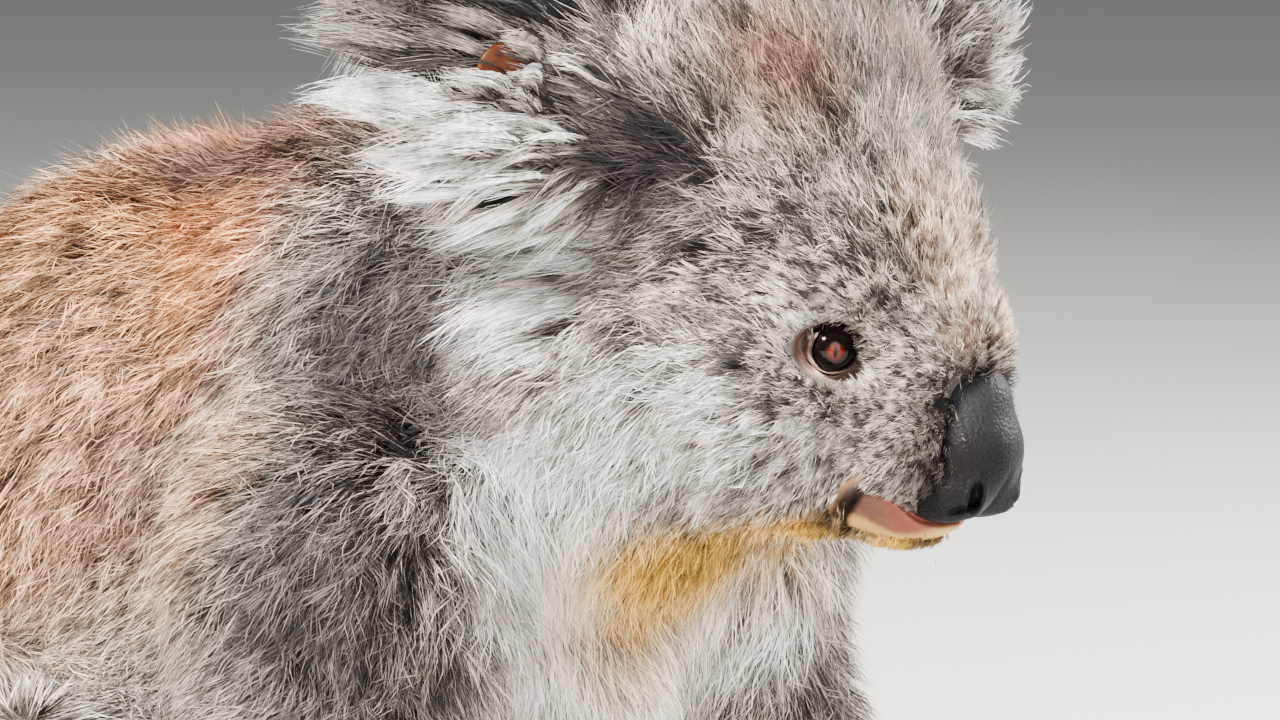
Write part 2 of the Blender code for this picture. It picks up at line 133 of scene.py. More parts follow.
# Soft blots of each marking on the right side, mirrored to the left: where they show, their
# middle and their radii in millimetres, how much of the radius fades, and how strong they are.
# Those of the head and throat are placed in the head's frame.
BLOTS = {
    "pale": (
        ("head", (-36, -74, -28), (52, 40, 34), 0.8, 0.75),
        ("head", (-6, -52, -30), (34, 34, 20), 0.8, 0.60),
        ("throat", (-85, -88, -55), (50, 46, 36), 0.7, 1.00),
        ("throat", (-98, -80, 18), (46, 50, 46), 0.7, 1.00),
        ("head", (14, -20, -36), (16, 16, 9), 0.8, 0.40),
        ("head", (16, 0, -66), (34, 32, 14), 0.5, 0.80),
        # Painted highlight: this narrow pale stripe down the forehead's middle stands for the rim light along
        # its ridge.
        ("head", (22, 0, 60), (30, 9, 70), 0.8, 0.80),
        ("head", (-4, -43, 10), (14, 14, 3.5), 0.8, 0.40),
        ("body", (106, -56, 205), (50, 64, 78), 0.5, 1.00),
        ("body", (110, 0, 155), (60, 80, 90), 0.5, 1.00),
        ("body", (0, 0, 30), (200, 90, 60), 0.6, 0.70),
        ("body", (-34, -150, 172), (70, 50, 55), 0.8, 1.00),
    ),
    "gold": (
        ("throat", (-50, -38, -80), (56, 52, 36), 0.7, 1.00),
        ("throat", (-18, -22, -62), (36, 32, 17), 0.8, 1.00),
        ("head", (12, 0, -63), (28, 32, 12), 0.6, 1.00),
        ("head", (-24, -38, -62), (40, 28, 14), 0.8, 0.80),
        ("body", (112, -6, 194), (44, 62, 48), 0.8, 0.90),
    ),
    "rust": (
        ("body", (-52, -78, 312), (88, 76, 82), 0.6, 1.00),
        ("body", (-60, -20, 345), (60, 60, 40), 0.8, 0.80),
        ("throat", (-18, -28, -60), (24, 20, 14), 0.8, 0.35),
    ),
    "warm": (
        ("body", (-110, -80, 260), (160, 120, 130), 0.6, 0.90),
        ("body", (10, -120, 240), (45, 50, 70), 0.8, 0.70),
    ),
    "dark": (
        # Painted shade: this dark blot before and below the ear's base stands for the shadow in the ear's
        # notch.
        ("head", (-54, -76, 52), (36, 36, 42), 0.6, 1.00),
        ("head", (-22, -50, 3), (16, 16, 4), 0.8, 0.60),
        ("head", (-10, -45, 1.5), (12, 12, 3.5), 0.8, 0.75),
        ("head", (18, -24, -18), (18, 18, 16), 0.9, 0.20),
        ("head", (31, -20, -38), (18, 18, 16), 0.8, 0.85),
        ("head", (36, 0, -5), (14, 16, 4), 0.8, 0.90),
        ("body", (64, -84, 286), (46, 60, 70), 0.6, 0.92),
        ("body", (62, -125, 205), (60, 55, 100), 0.8, 0.90),
        ("body", (36, -100, 272), (8, 32, 50), 0.8, 0.70),
        ("body", (90, -112, 165), (44, 44, 70), 0.8, 0.65),
        ("body", (20, -136, 214), (26, 30, 12), 0.8, 0.90),
        ("body", (-28, -36, 342), (76, 52, 26), 0.7, 0.85),
        # Painted shade: this dark blot carries the mouth corner's shadow down the jaw.
        ("throat", (-10, -20, -58), (13, 18, 12), 0.8, 0.85),
    ),
    "pink": (
        ("head", (20, -4, 44), (28, 24, 56), 0.8, 1.00),
        ("head", (28, -8, 8), (18, 16, 13), 0.8, 0.80),
    ),
    "tint": (
        ("head", (-28, -30, 86), (46, 44, 42), 0.8, 1.00),
        ("head", (6, -24, 30), (14, 14, 36), 0.9, 0.50),
        ("body", (-28, -40, 340), (88, 58, 32), 0.7, 1.00),
    ),
}
MARK_NAMES = tuple(BLOTS)
ARM_SHARE = {"pale": 0.25, "gold": 0.0}     # how much of a blot on the trunk the arms take

TRIANGLES = 1.48e6              # in the whole coat
PIECE_TRIANGLES = 1.96e5        # in any one piece of it
SPINE_POINTS = 5                # places along each guide that a tuft's hairs follow
FLOOR_GAP = 0.0005              # the lowest that hair hangs
PATCH = 0.003                   # how wide each hair's patch of the coat's map is
PATCH_STRAY = 0.004             # how far that patch may lie from its root's place on the map
SKIN_GAP = 0.0006               # how much deeper than its coat the skin lies
HIDDEN_SHARE = 0.45             # of the full coat, where it faces the floor or the body's middle
WAVE = 0.085                    # how far a hair swings to each side, against its length
STRAY, FINE_STRAY = 0.11, 0.18  # how far the tips of long and fine hairs stray, against their length
TUFT_TONES, HAIR_TONES = 0.17, 0.09     # how much tufts, and hairs in them, differ in tone
TUFT = {"hairs": 3, "fine": 9}  # hairs to each guide on the body and face
EAR_TUFT = {"hairs": 9, "fine": 0}

# Each lamp: its place, where it is aimed, its width, its power against the main light, its colour.
LAMPS = {
    "key": ((-0.5, -1.5, 2.1), (0.05, 0, 0.25), 0.5, 1.0, (1.0, 0.96, 0.90)),
    "rim": ((1.2, 1.6, 1.3), (0.1, 0, 0.28), 0.5, 0.5, (1.0, 0.95, 0.88)),
    "fill": ((1.6, -1.4, 0.7), (0.1, 0, 0.2), 1.4, 0.10, (1.0, 0.98, 0.96)),
}
SKY = (1.0, 0.98, 0.95, 1.0)
AZIMUTH, ELEVATION = math.radians(32), math.radians(6)
CAMERA_AWAY, VIEW_WIDTH = 1.7, 0.384
EYE_IN_VIEW = (0.0585, 0.0024)  # how far right of and above the view's middle the near eye is


def hue(red, green, blue):
    """A display colour from 0 to 255 as the linear one that materials take."""
    shares = (red / 255, green / 255, blue / 255)
    return tuple(((share + 0.055) / 1.055) ** 2.4 if share > 0.04 else share / 12.92 for share in shares)


FUR = {
    # marking: (root, middle, tip)
    "grey": (hue(13, 9, 9), hue(50, 42, 40), hue(208, 194, 183)),
    "pale": (hue(76, 65, 60), hue(212, 200, 188), hue(255, 255, 252)),
    "gold": (hue(52, 26, 3), hue(142, 90, 6), hue(234, 182, 52)),
    "rust": (hue(44, 16, 2), hue(146, 60, 2), hue(252, 146, 8)),
    "warm": (hue(28, 17, 11), hue(92, 57, 38), hue(234, 178, 128)),
    # dark: dark coat, and also painted shade in the ear's notch and under the mouth's corners.
    "dark": (hue(4, 3, 3), hue(17, 13, 14), hue(68, 58, 57)),
    "pink": (hue(84, 54, 44), hue(176, 130, 106), hue(255, 228, 202)),
    "tint": (hue(26, 15, 11), hue(72, 47, 38), hue(152, 118, 101)),
}


# ---------------------------------------------------------------- places


def middle(node):
    """The middle of a CAD node's box."""
    low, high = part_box(node)
    return (low + high) / 2


def head_frame():
    """The head's frame as a matrix, from the places of the eyes."""
    across = (middle("eye_left") - middle("eye_right")).normalized()
    yaw = math.atan2(-across.x, across.y)
    turn = Matrix.Rotation(yaw, 4, "Z")
    origin = (middle("eye_left") + middle("eye_right")) / 2 + turn.to_3x3() @ Vector((EYE_SETBACK, 0, 0))
    return Matrix.Translation(origin) @ turn @ Matrix.Rotation(HEAD_PITCH, 4, "Y")


HEAD = head_frame()
HEAD_TURN = np.array(HEAD.to_3x3())
HEAD_ORIGIN = np.array(HEAD.translation)
EYE_RADIUS = (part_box("eye_right")[1].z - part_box("eye_right")[0].z) / 2


def in_head(points):
    """World points as places in the head's frame."""
    return (points - HEAD_ORIGIN) @ HEAD_TURN


def from_head(points):
    """Places in the head's frame as world points."""
    return points @ HEAD_TURN.T + HEAD_ORIGIN


def unit(vectors):
    return vectors / np.maximum(np.linalg.norm(vectors, axis=-1, keepdims=True), 1e-12)


def ease(low, high, values):
    """0 below low and 1 above high, with a smooth rise between. low may be above high."""
    share = np.clip((values - low) / (high - low), 0.0, 1.0)
    return share * share * (3 - 2 * share)


def blob(points, centre, radii, soft=0.5):
    """1 inside an ellipsoid, fading to 0 over its outer share soft."""
    away = np.linalg.norm((points - np.array(centre)) / np.array(radii), axis=-1)
    return ease(1.0, 1.0 - soft, away)


def folded(points):
    """Points mirrored to the right side, where the blots are placed."""
    return points * (1, 0, 1) - np.abs(points * (0, 1, 0))


def kind(name):
    """The coat table's name for a node."""
    return name if name in COAT else name.rsplit("_", 1)[0]


KINDS = np.array([kind(name) for name in FLESH])


def eye_place(side):
    """An eye's middle and the way it looks, in the head's frame."""
    name = "eye_left" if side > 0 else "eye_right"
    place = in_head(np.array(middle(name)))
    return place, np.array((math.cos(EYE_AIM), math.sin(EYE_AIM) * side, 0.0))


def eye_space(place, side):
    """Places seen from an eye: how far back, up and out of it, and rings that follow its lids."""
    centre, gaze = eye_place(side)
    back = unit(np.cross(np.array((0.0, 0.0, 1.0)), gaze)) * side
    off = place - centre
    along, up, out = off @ back, off[:, 2], off @ gaze
    long_way, high_way = EYE_OPENING
    shape = np.hypot((along + 0.0002) / long_way, (up + 0.0007 - 0.10 * along) / high_way)
    return along, up, out, shape


def mouth_line(x):
    """The height of the line between the lips, by how far forward it is on the face."""
    peak, height = MOUTH_PEAK
    behind, ahead = np.maximum(peak - x, 0.0), np.maximum(x - peak, 0.0)
    return height - 0.018 * (behind / 0.023) ** 1.5 - 0.011 * (1 - np.exp(-(ahead / 0.0062) ** 2))


def from_eye(place, side):
    """How far places are from the middle of an eye."""
    return np.linalg.norm(place - eye_place(side)[0], axis=1)


def past_border(place):
    """How far inside the nose pad's border a place lies; behind the border it is below 0."""
    x, y, z = place.T
    return 0.766 * x - 0.643 * np.abs(y) - 0.0138 + 0.0065 * ease(-0.034, -0.041, z)


def ear_basis(ear):
    """Rows: the way the ear points, across it, and the way its cup faces."""
    point = unit(np.array(ear["point"]))
    across = unit(np.cross(np.array(ear["face"]), point))
    return np.array((point, across, np.cross(point, across)))


# ---------------------------------------------------------------- meshes


def only(obj):
    """Deselects everything and makes obj the one selected, active object."""
    bpy.ops.object.select_all(action="DESELECT")
    obj.select_set(True)
    bpy.context.view_layer.objects.active = obj
    return obj


def new_object(name):
    """The object that the last operator made, named."""
    made = bpy.context.view_layer.objects.active
    made.name = made.data.name = name
    return made


def joined(name, *pieces):
    """One object from several, named."""
    bpy.ops.object.select_all(action="DESELECT")
    for piece in pieces:
        piece.select_set(True)
    bpy.context.view_layer.objects.active = pieces[-1]
    bpy.ops.object.join()
    return new_object(name)


def linked(name, data):
    """A new object in the scene with data that is made already."""
    made = bpy.data.objects.new(name, data)
    bpy.context.scene.collection.objects.link(made)
    return made


def sphere(name, segments, rings):
    """A ball of radius 1, to be shaped into a piece."""
    bpy.ops.object.select_all(action="DESELECT")
    bpy.ops.mesh.primitive_uv_sphere_add(segments=segments, ring_count=rings, radius=1.0)
    return new_object(name)


def edited(obj, *steps):
    """Runs operators on obj in edit mode, each given with its settings."""
    only(obj)
    bpy.ops.object.mode_set(mode="EDIT")
    for operator, settings in steps:
        operator(**settings)
    bpy.ops.object.mode_set(mode="OBJECT")
    return obj


PICK_ALL = (bpy.ops.mesh.select_all, {"action": "SELECT"})
TURN_OUT = (bpy.ops.mesh.normals_make_consistent, {"inside": False})


def pick_faces(obj, chosen):
    """Selects only the chosen faces of obj."""
    mesh = bpy.ops.mesh
    edited(obj, (mesh.select_mode, {"type": "FACE"}), (mesh.select_all, {"action": "DESELECT"}))
    obj.data.polygons.foreach_set("select", chosen)


def node_copy(*nodes):
    """One new object from copies of CAD nodes, merged into closed bodies."""
    made = joined("copy", *[linked(node + "_copy", NODES[node].data.copy()) for node in nodes])
    made.data.materials.clear()
    return edited(made, PICK_ALL, (bpy.ops.mesh.remove_doubles, {"threshold": 0.00002}), TURN_OUT)


def modified(obj, kind_of, **settings):
    """Adds a modifier with its settings and applies it."""
    only(obj)
    modifier = obj.modifiers.new(kind_of.title(), kind_of)
    for name, value in settings.items():
        setattr(modifier, name, value)
    bpy.ops.object.modifier_apply(modifier=modifier.name)
    return obj


def remeshed(obj, voxel, smoothing):
    """Covers obj with one closed, even mesh and smooths it."""
    modified(obj, "REMESH", mode="VOXEL", voxel_size=voxel)
    return modified(obj, "SMOOTH", factor=0.5, iterations=smoothing)


def smooth_outside(obj):
    """Shades a piece smooth, with its faces turned outwards."""
    edited(obj, PICK_ALL, TURN_OUT)
    bpy.ops.object.shade_smooth()
    return obj


def read(layer, name, width, kind_of=np.float32):
    """One property of every item of a mesh's layer: a row of width numbers for each."""
    flat = np.empty(len(layer) * width, kind_of)
    layer.foreach_get(name, flat)
    return flat.reshape(-1, width) if width > 1 else flat


def points_of(mesh):
    return read(mesh.vertices, "co", 3).astype(float)


def normals_of(mesh):
    return read(mesh.vertices, "normal", 3).astype(float)


def edges_of(mesh):
    return read(mesh.edges, "vertices", 2, np.int32)


def put_points(mesh, points):
    mesh.vertices.foreach_set("co", points.astype(np.float32).ravel())
    mesh.update()


def put_attribute(mesh, name, values, kind_of="FLOAT"):
    """Stores values on the vertices of a mesh."""
    layer = mesh.attributes.new(name, kind_of, "POINT")
    flat = np.asarray(values, np.int32 if kind_of == "INT" else np.float32).ravel()
    layer.data.foreach_set("vector" if kind_of == "FLOAT_VECTOR" else "value", flat)


def attribute_of(mesh, name, kind_of=np.float32):
    return read(mesh.attributes[name].data, "value", 1, kind_of)


def spread(values, edges, times):
    """Values on vertices, averaged with their neighbours' a number of times."""
    values = np.array(values, float)
    flat = values.reshape(len(values), -1)
    first, second = edges.T
    count = np.bincount(first, minlength=len(flat)) + np.bincount(second, minlength=len(flat))
    for _ in range(times):
        for column in range(flat.shape[1]):
            held = flat[:, column]
            total = np.bincount(first, held[second], len(flat)) + np.bincount(second, held[first], len(flat))
            flat[:, column] = 0.5 * held + 0.5 * total / np.maximum(count, 1)
    return flat.reshape(values.shape)


def tree_of(places):
    """A tree that finds the nearest of some places."""
    tree = kdtree.KDTree(len(places))
    for index, place in enumerate(places):
        tree.insert(place, index)
    tree.balance()
    return tree


def nearest_parts(points):
    """For each point, the index in FLESH of the solid whose surface is nearest."""
    places, owners = [], []
    for index, name in enumerate(FLESH):
        mesh = NODES[name].data
        places += [points_of(mesh), np.array([polygon.center for polygon in mesh.polygons])]
        owners += [np.full(len(places[-2]) + len(places[-1]), index)]
    places, owners = np.vstack(places), np.concatenate(owners)
    tree = tree_of(places)
    return owners[[tree.find(point)[1] for point in points]]


def finish(piece, material, slot, *nodes):
    """Gives a piece its material, fixes it to the body and hides the solids that it stands for."""
    piece.data.materials.clear()
    piece.data.materials.append(material)
    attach(piece, BODY)
    if nodes:
        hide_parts(*nodes)


# ---------------------------------------------------------------- markings


def markings(points, names):
    """How strongly each marking shows at each world point, 0 to 1, by name."""
    body, face = folded(points), folded(in_head(points))
    head = np.isin(names, ("head", "jaw")).astype(float)
    ear = np.isin(names, ("ear_left", "ear_right")).astype(float)
    throat = np.maximum(head, np.isin(names, ("neck", "chest")))
    arm = np.isin(names, ARM)
    marks = {}
    for mark, blots in BLOTS.items():
        on_body = (1 - head) * (1 - ear) * np.where(arm, ARM_SHARE.get(mark, 1.0), 1.0)
        places = {"head": (face, head), "throat": (face, throat), "body": (body, on_body)}
        marks[mark] = np.zeros(len(points))
        for where, centre, radii, soft, strength in blots:
            place, here = places[where]
            shown = blob(place * 1000, centre, radii, soft)
            marks[mark] = np.maximum(marks[mark], shown * here * strength)
    height = face[:, 2]
    by_pad = ease(-0.0034, -0.0008, past_border(face)) * ease(-0.002, -0.006, height)
    upper, lower = ease(0.070, 0.100, height) * (names == "ear_right"), ease(0.055, 0.035, height)
    on_ear = np.where(names == "ear_right", 0.34 - 0.22 * upper + 0.46 * lower, 0.52)
    marks["pale"] = np.maximum(marks["pale"], on_ear * ear)
    marks["dark"] = np.maximum.reduce((marks["dark"], 0.75 * by_pad * head, 0.74 * upper * ear))
    return marks


def bare_marks(points):
    """How strongly each bare part of the skin shows: lids and their dark edge, lips and their rims, and the
    painted shade along the mouth's line and in its corners.
    """
    place = in_head(points)
    lid, pink, edge = np.zeros((3, len(points)))
    for side in SIDES.values():
        along, up, out, shape = eye_space(place, side)
        near = ease(-0.014, -0.010, out)
        lid = np.maximum(lid, near * ease(2.1, 1.8, shape))
        heavy = ease(-0.001, 0.003, up - 0.4 * along)
        edge = np.maximum(edge, near * ease(0.0, -0.16, shape - 1.30 - 0.14 * heavy))
        low = blob(np.stack((along, up), 1), (0.0052, -0.0054), (0.0085, 0.0056), 0.9)
        pink = np.maximum(pink, near * low)
    x, y, z = place.T
    line = z - mouth_line(x)
    across = ease(0.042, 0.038, np.abs(y))
    lower = ease(0.0, -0.0016, line) * ease(-0.0650, -0.0610, z) * ease(-0.007, -0.003, x) * across
    rim = ease(0.0018, 0.0026, line) * ease(0.0056, 0.0044, line)
    rim = rim * ease(-0.013, -0.009, x) * ease(0.020, 0.014, x)
    below = z + 0.0515 + 0.0048 * np.exp(-((x - 0.015) / 0.009) ** 2)
    thick = 0.0017 + 0.0022 * ease(0.008, -0.003, x)
    # Painted shade: a near-black band along the line between the lips and a patch at each corner of the
    # mouth.
    line_shade = np.exp(-(line / thick) ** 4) * ease(-0.018, -0.012, x) * ease(0.04, 0.03, x)
    corner = blob(folded(place), (0.0075, -0.031, -0.0440), (0.0080, 0.012, 0.0030), 0.6)
    return {
        "lid": lid, "lid_pink": pink, "lid_edge": edge,
        "lip": np.maximum(lower, rim * across),
        "cream": np.maximum(lower * ease(0.0010, -0.0022, below), 0.45 * rim * across),
        "lip_front": ease(0.006, 0.018, x - 0.35 * (z + 0.050)),
        "mouth": np.maximum(line_shade, corner),
    }


# ---------------------------------------------------------------- skin


def coat_depth(points, parts):
    """How far the coat's tips stand off the skin, by part and by place on the face."""
    place = in_head(points)
    from_nose = np.linalg.norm((place - (0.030, 0.0, -0.020)) * (1.0, 1.0, 0.8), axis=1)
    face = 0.0022 + 0.012 * ease(0.020, 0.120, from_nose)
    depth = np.array([COAT[name][0] for name in KINDS])[parts]
    face += 0.0045 * ease(0.0010, 0.0050, past_border(place)) * ease(-0.003, -0.009, place[:, 2])
    depth = np.where(KINDS[parts] == "head", face, depth)
    for side in SIDES.values():
        away = from_eye(place, side)
        depth = np.minimum(depth, 0.0024 + 0.35 * np.maximum(away - 0.014, 0.0))
    return depth


def add_ear(name):
    """The ear's own flap: a thin round cup, rooted in the head."""
    ear = EARS[name]
    flap = sphere("ear_flap_" + name, 48, 24)
    along, across, height = points_of(flap.data).T
    out = np.clip(np.hypot(along, across), 0, 1)
    edge = np.sqrt(1 - out ** 2)
    rim = 0.0035 * edge + 0.0012
    shaped = np.stack((
        along * 0.036 * (1.05 + 0.10 * across ** 2) - 0.004,
        across * 0.0353,
        height * rim / np.maximum(edge, 0.2) - 0.011 * edge ** 2 + 0.008,
    ), 1)
    basis = ear_basis(ear)
    centre = np.array(ear["base"]) + basis[0] * (EAR_MIDDLE - 0.002)
    put_points(flap.data, from_head(shaped @ basis + centre))
    return flap


def lid_shape(place, side):
    """Opens the lids over an eye: a pocket for the ball, a rolled rim and a soft fold."""
    gaze = eye_place(side)[1]
    along, up, out, shape = eye_space(place, side)
    reach = np.hypot(along, up)
    dome = np.sqrt(np.maximum(EYE_RADIUS ** 2 - reach ** 2, 0.0))
    dome -= 0.9 * np.maximum(reach - EYE_RADIUS * 0.86, 0.0)
    near = (out > -0.004) & (reach < 0.020)
    pocket, rim, fold = dome - 0.0035, dome + 0.0013, dome + 0.0009
    target = pocket + (rim - pocket) * ease(0.92, 1.12, shape) + (fold - rim) * ease(1.2, 1.5, shape)
    target -= 0.0010 * np.exp(-((shape - 1.55) / 0.09) ** 2) * ease(-0.001, 0.003, up)
    target -= 0.0006 * np.exp(-((shape - 1.50) / 0.08) ** 2) * ease(0.0, -0.003, up)
    keep = ease(1.45, 2.15, shape)
    moved = np.where(near, target * (1 - keep) + out * keep, out)
    return place + (moved - out)[:, None] * gaze


def mouth_shape(place):
    """Presses the mouth's line in and rolls a lip out on each side of it."""
    x, y, z = place.T
    here = ease(-0.016, -0.008, x) * ease(0.040, 0.036, np.abs(y))
    above = z - mouth_line(x)
    inward = unit(np.stack((np.full(len(x), -0.012) - x, -y, np.zeros(len(x))), 1))
    groove = 0.0028 * np.exp(-(above / 0.0016) ** 2)
    lower_roll = 0.0010 * np.exp(-((above + 0.0042) / 0.0028) ** 2)
    upper_roll = 0.0008 * np.exp(-((above - 0.0045) / 0.0028) ** 2)
    return place + inward * ((groove - lower_roll - upper_roll) * here)[:, None]


def refine(obj, centre, radii, cuts):
    """Divides the faces of obj near a place in the head's frame."""
    middles = in_head(read(obj.data.polygons, "center", 3))
    pick_faces(obj, np.linalg.norm((middles - centre) / radii, axis=1) < 1.0)
    edited(obj, (bpy.ops.mesh.subdivide, {"number_cuts": cuts, "smoothness": 0.0}))


def build_skin(voxel):
    """One skin for the whole body, with what the coat needs to know stored on it."""
    skin = node_copy(*[name for name in FLESH if not name.startswith("ear_")], "nose")
    modified(skin, "DISPLACE", strength=SKIN_GAP, mid_level=0.0)
    remeshed(skin, 0.0032, 8)
    outside = BVHTree.FromObject(skin, bpy.context.evaluated_depsgraph_get())
    points, edges = points_of(skin.data), edges_of(skin.data)
    depth = spread(coat_depth(points, nearest_parts(points)), edges, 30)
    normals = unit(spread(normals_of(skin.data), edges, 8))
    put_points(skin.data, points - normals * (depth + SKIN_GAP)[:, None])
    modified(skin, "SMOOTH", factor=0.5, iterations=4)
    skin = joined("skin", *[add_ear(name) for name in EARS], skin)
    remeshed(skin, voxel, 3)
    for side in SIDES.values():
        refine(skin, eye_place(side)[0], np.array((0.022, 0.022, 0.020)), 3)
    refine(skin, np.array((0.010, 0.0, -0.046)), np.array((0.034, 0.042, 0.020)), 2)
    modified(skin, "SMOOTH", factor=0.5, iterations=2)
    place = in_head(points_of(skin.data))
    for side in SIDES.values():
        place = lid_shape(place, side)
    put_points(skin.data, from_head(mouth_shape(place)))
    modified(skin, "TRIANGULATE")
    smooth_outside(skin)
    points = points_of(skin.data)
    parts = nearest_parts(points)
    room = np.array([outside.find_nearest(point)[3] or 0.0 for point in points])
    put_attribute(skin.data, "part", parts, "INT")
    put_attribute(skin.data, "room", room)
    shown = points + normals_of(skin.data) * np.minimum(room, 0.015)[:, None]
    for name, values in {**markings(shown, KINDS[parts]), **bare_marks(points)}.items():
        put_attribute(skin.data, name, values)
    return skin


# ---------------------------------------------------------------- coat


def along_surface(vectors, normals):
    """Unit vectors laid down on the surface."""
    return unit(vectors - normals * np.sum(vectors * normals, axis=1, keepdims=True))


def over_lips(place):
    """1 on the upper lip, fading to 0 away from the mouth's line."""
    x, y, z = place.T
    above = z - mouth_line(x)
    across = ease(0.042, 0.038, np.abs(y))
    return ease(0.014, 0.004, above) * ease(-0.006, -0.001, above) * ease(-0.018, -0.008, x) * across


def head_lie(place):
    """The way the face's coat lies: away from the nose, round the eyes, and fanning behind the whorl."""
    x, y, z = place.T
    away = unit(place - NOSE_TOP)
    away[:, 2] -= 0.55 * ease(0.015, -0.03, z) * ease(0.03, -0.03, x) + 0.35 * ease(0.045, 0.075, np.abs(y))
    for side in SIDES.values():
        centre, gaze = eye_place(side)
        off = place - centre
        near = np.exp(-(np.maximum(np.linalg.norm(off, axis=1) - 0.010, 0.0) / 0.005) ** 2)
        away += 1.2 * near[:, None] * unit(off - gaze * (off @ gaze)[:, None])
    lips = over_lips(place)
    away[:, 2] *= 1 - 0.85 * lips
    away[:, 0] -= 0.5 * lips
    whorl = WHORL * np.stack((np.ones(len(x)), np.sign(y), np.ones(len(x))), 1)
    behind = ease(-0.040, -0.062, x) * ease(0.030, 0.050, np.abs(y)) * ease(-0.030, 0.010, z)
    fan = unit(place - whorl) + (-0.5, 0.0, -0.25)
    return (away * (1 - behind)[:, None] + fan * behind[:, None]) @ HEAD_TURN.T


def lie_of(points, normals, names):
    """The way the coat lies at each skin point: a unit vector along the surface."""
    lie = np.array([COAT[name][4] for name in names], float)
    place = in_head(points)
    on_head = np.isin(names, ("head", "jaw"))
    lie[on_head] = head_lie(place)[on_head]
    for name, side in SIDES.items():
        here = names == "ear_" + name
        swept = np.array((-0.45, 0.0, -0.15)) * (name == "right")
        lie[here] = (unit(place[here] - WHORL * (1, side, 1)) + swept) @ HEAD_TURN.T
    trunk = np.isin(names, TRUNK)
    top = ease(0.3, 0.9, normals[:, 2]) * ease(0.0, 0.05, np.abs(points[:, 1]))
    lie[trunk, 1] += (0.5 * top * np.sign(points[:, 1]))[trunk]
    return along_surface(lie, normals)


def past_tag(place, lie, names):
    """How far ahead of each root the tag is, and how much a root lies before, under or beyond it."""
    facing = ear_basis(EARS["right"])[2]
    to_tag = in_head(np.array(middle("ear_tag"))) - place
    to_tag -= np.outer(to_tag @ facing, facing)
    flow = unit(lie @ HEAD_TURN - np.outer(lie @ HEAD_TURN @ facing, facing))
    ahead = np.sum(to_tag * flow, axis=1)
    aside = np.linalg.norm(to_tag - flow * ahead[:, None], axis=1)
    by_tag = (names == "ear_right") * ease(0.015, 0.011, aside)
    before = by_tag * ease(0.000, 0.005, ahead)
    under = by_tag * ease(0.003, -0.001, ahead) * ease(-0.017, -0.011, ahead)
    beyond = by_tag * ease(-0.008, -0.014, ahead)
    return ahead, before, under, beyond


def hairless(place, names, lip):
    """The skin that no hair grows on: the lips, the mouth's corners and under the nose pad."""
    x, _, z = place.T
    above = z - mouth_line(x)
    corner = np.linalg.norm(folded(place) - MOUTH_CORNER, axis=1)
    clear = 0.0016 + 0.0018 * ease(0.018, 0.012, x) * ease(-0.004, 0.006, x)
    rim = 0.0010 + 0.0030 * ease(0.018, 0.010, x)
    upper_lip = (over_lips(place) > 0.4) & (above < clear) & (x > MOUTH_BACK)
    lower_lip = (lip > 0.25) & (above < rim) & (z > LIP_FOOT)
    chin = (names == "jaw") & (z > LIP_FOOT) & (x > MOUTH_BACK)
    pad = (names == "head") & (past_border(place) > 0.0014) & (z < -0.0055)
    return upper_lip | lower_lip | (corner < 0.0036) | chin | pad


def hidden_skin(points, normals, names):
    """The skin that faces the floor or the body's middle, where the coat can be thin."""
    trunk = np.isin(names, ("chest", "abdomen", "rump", "thigh"))
    limb = np.isin(names, ARM + LEG)
    return (trunk & (normals[:, 2] < -0.3)) | (limb & (normals[:, 1] * np.sign(points[:, 1]) < -0.25))


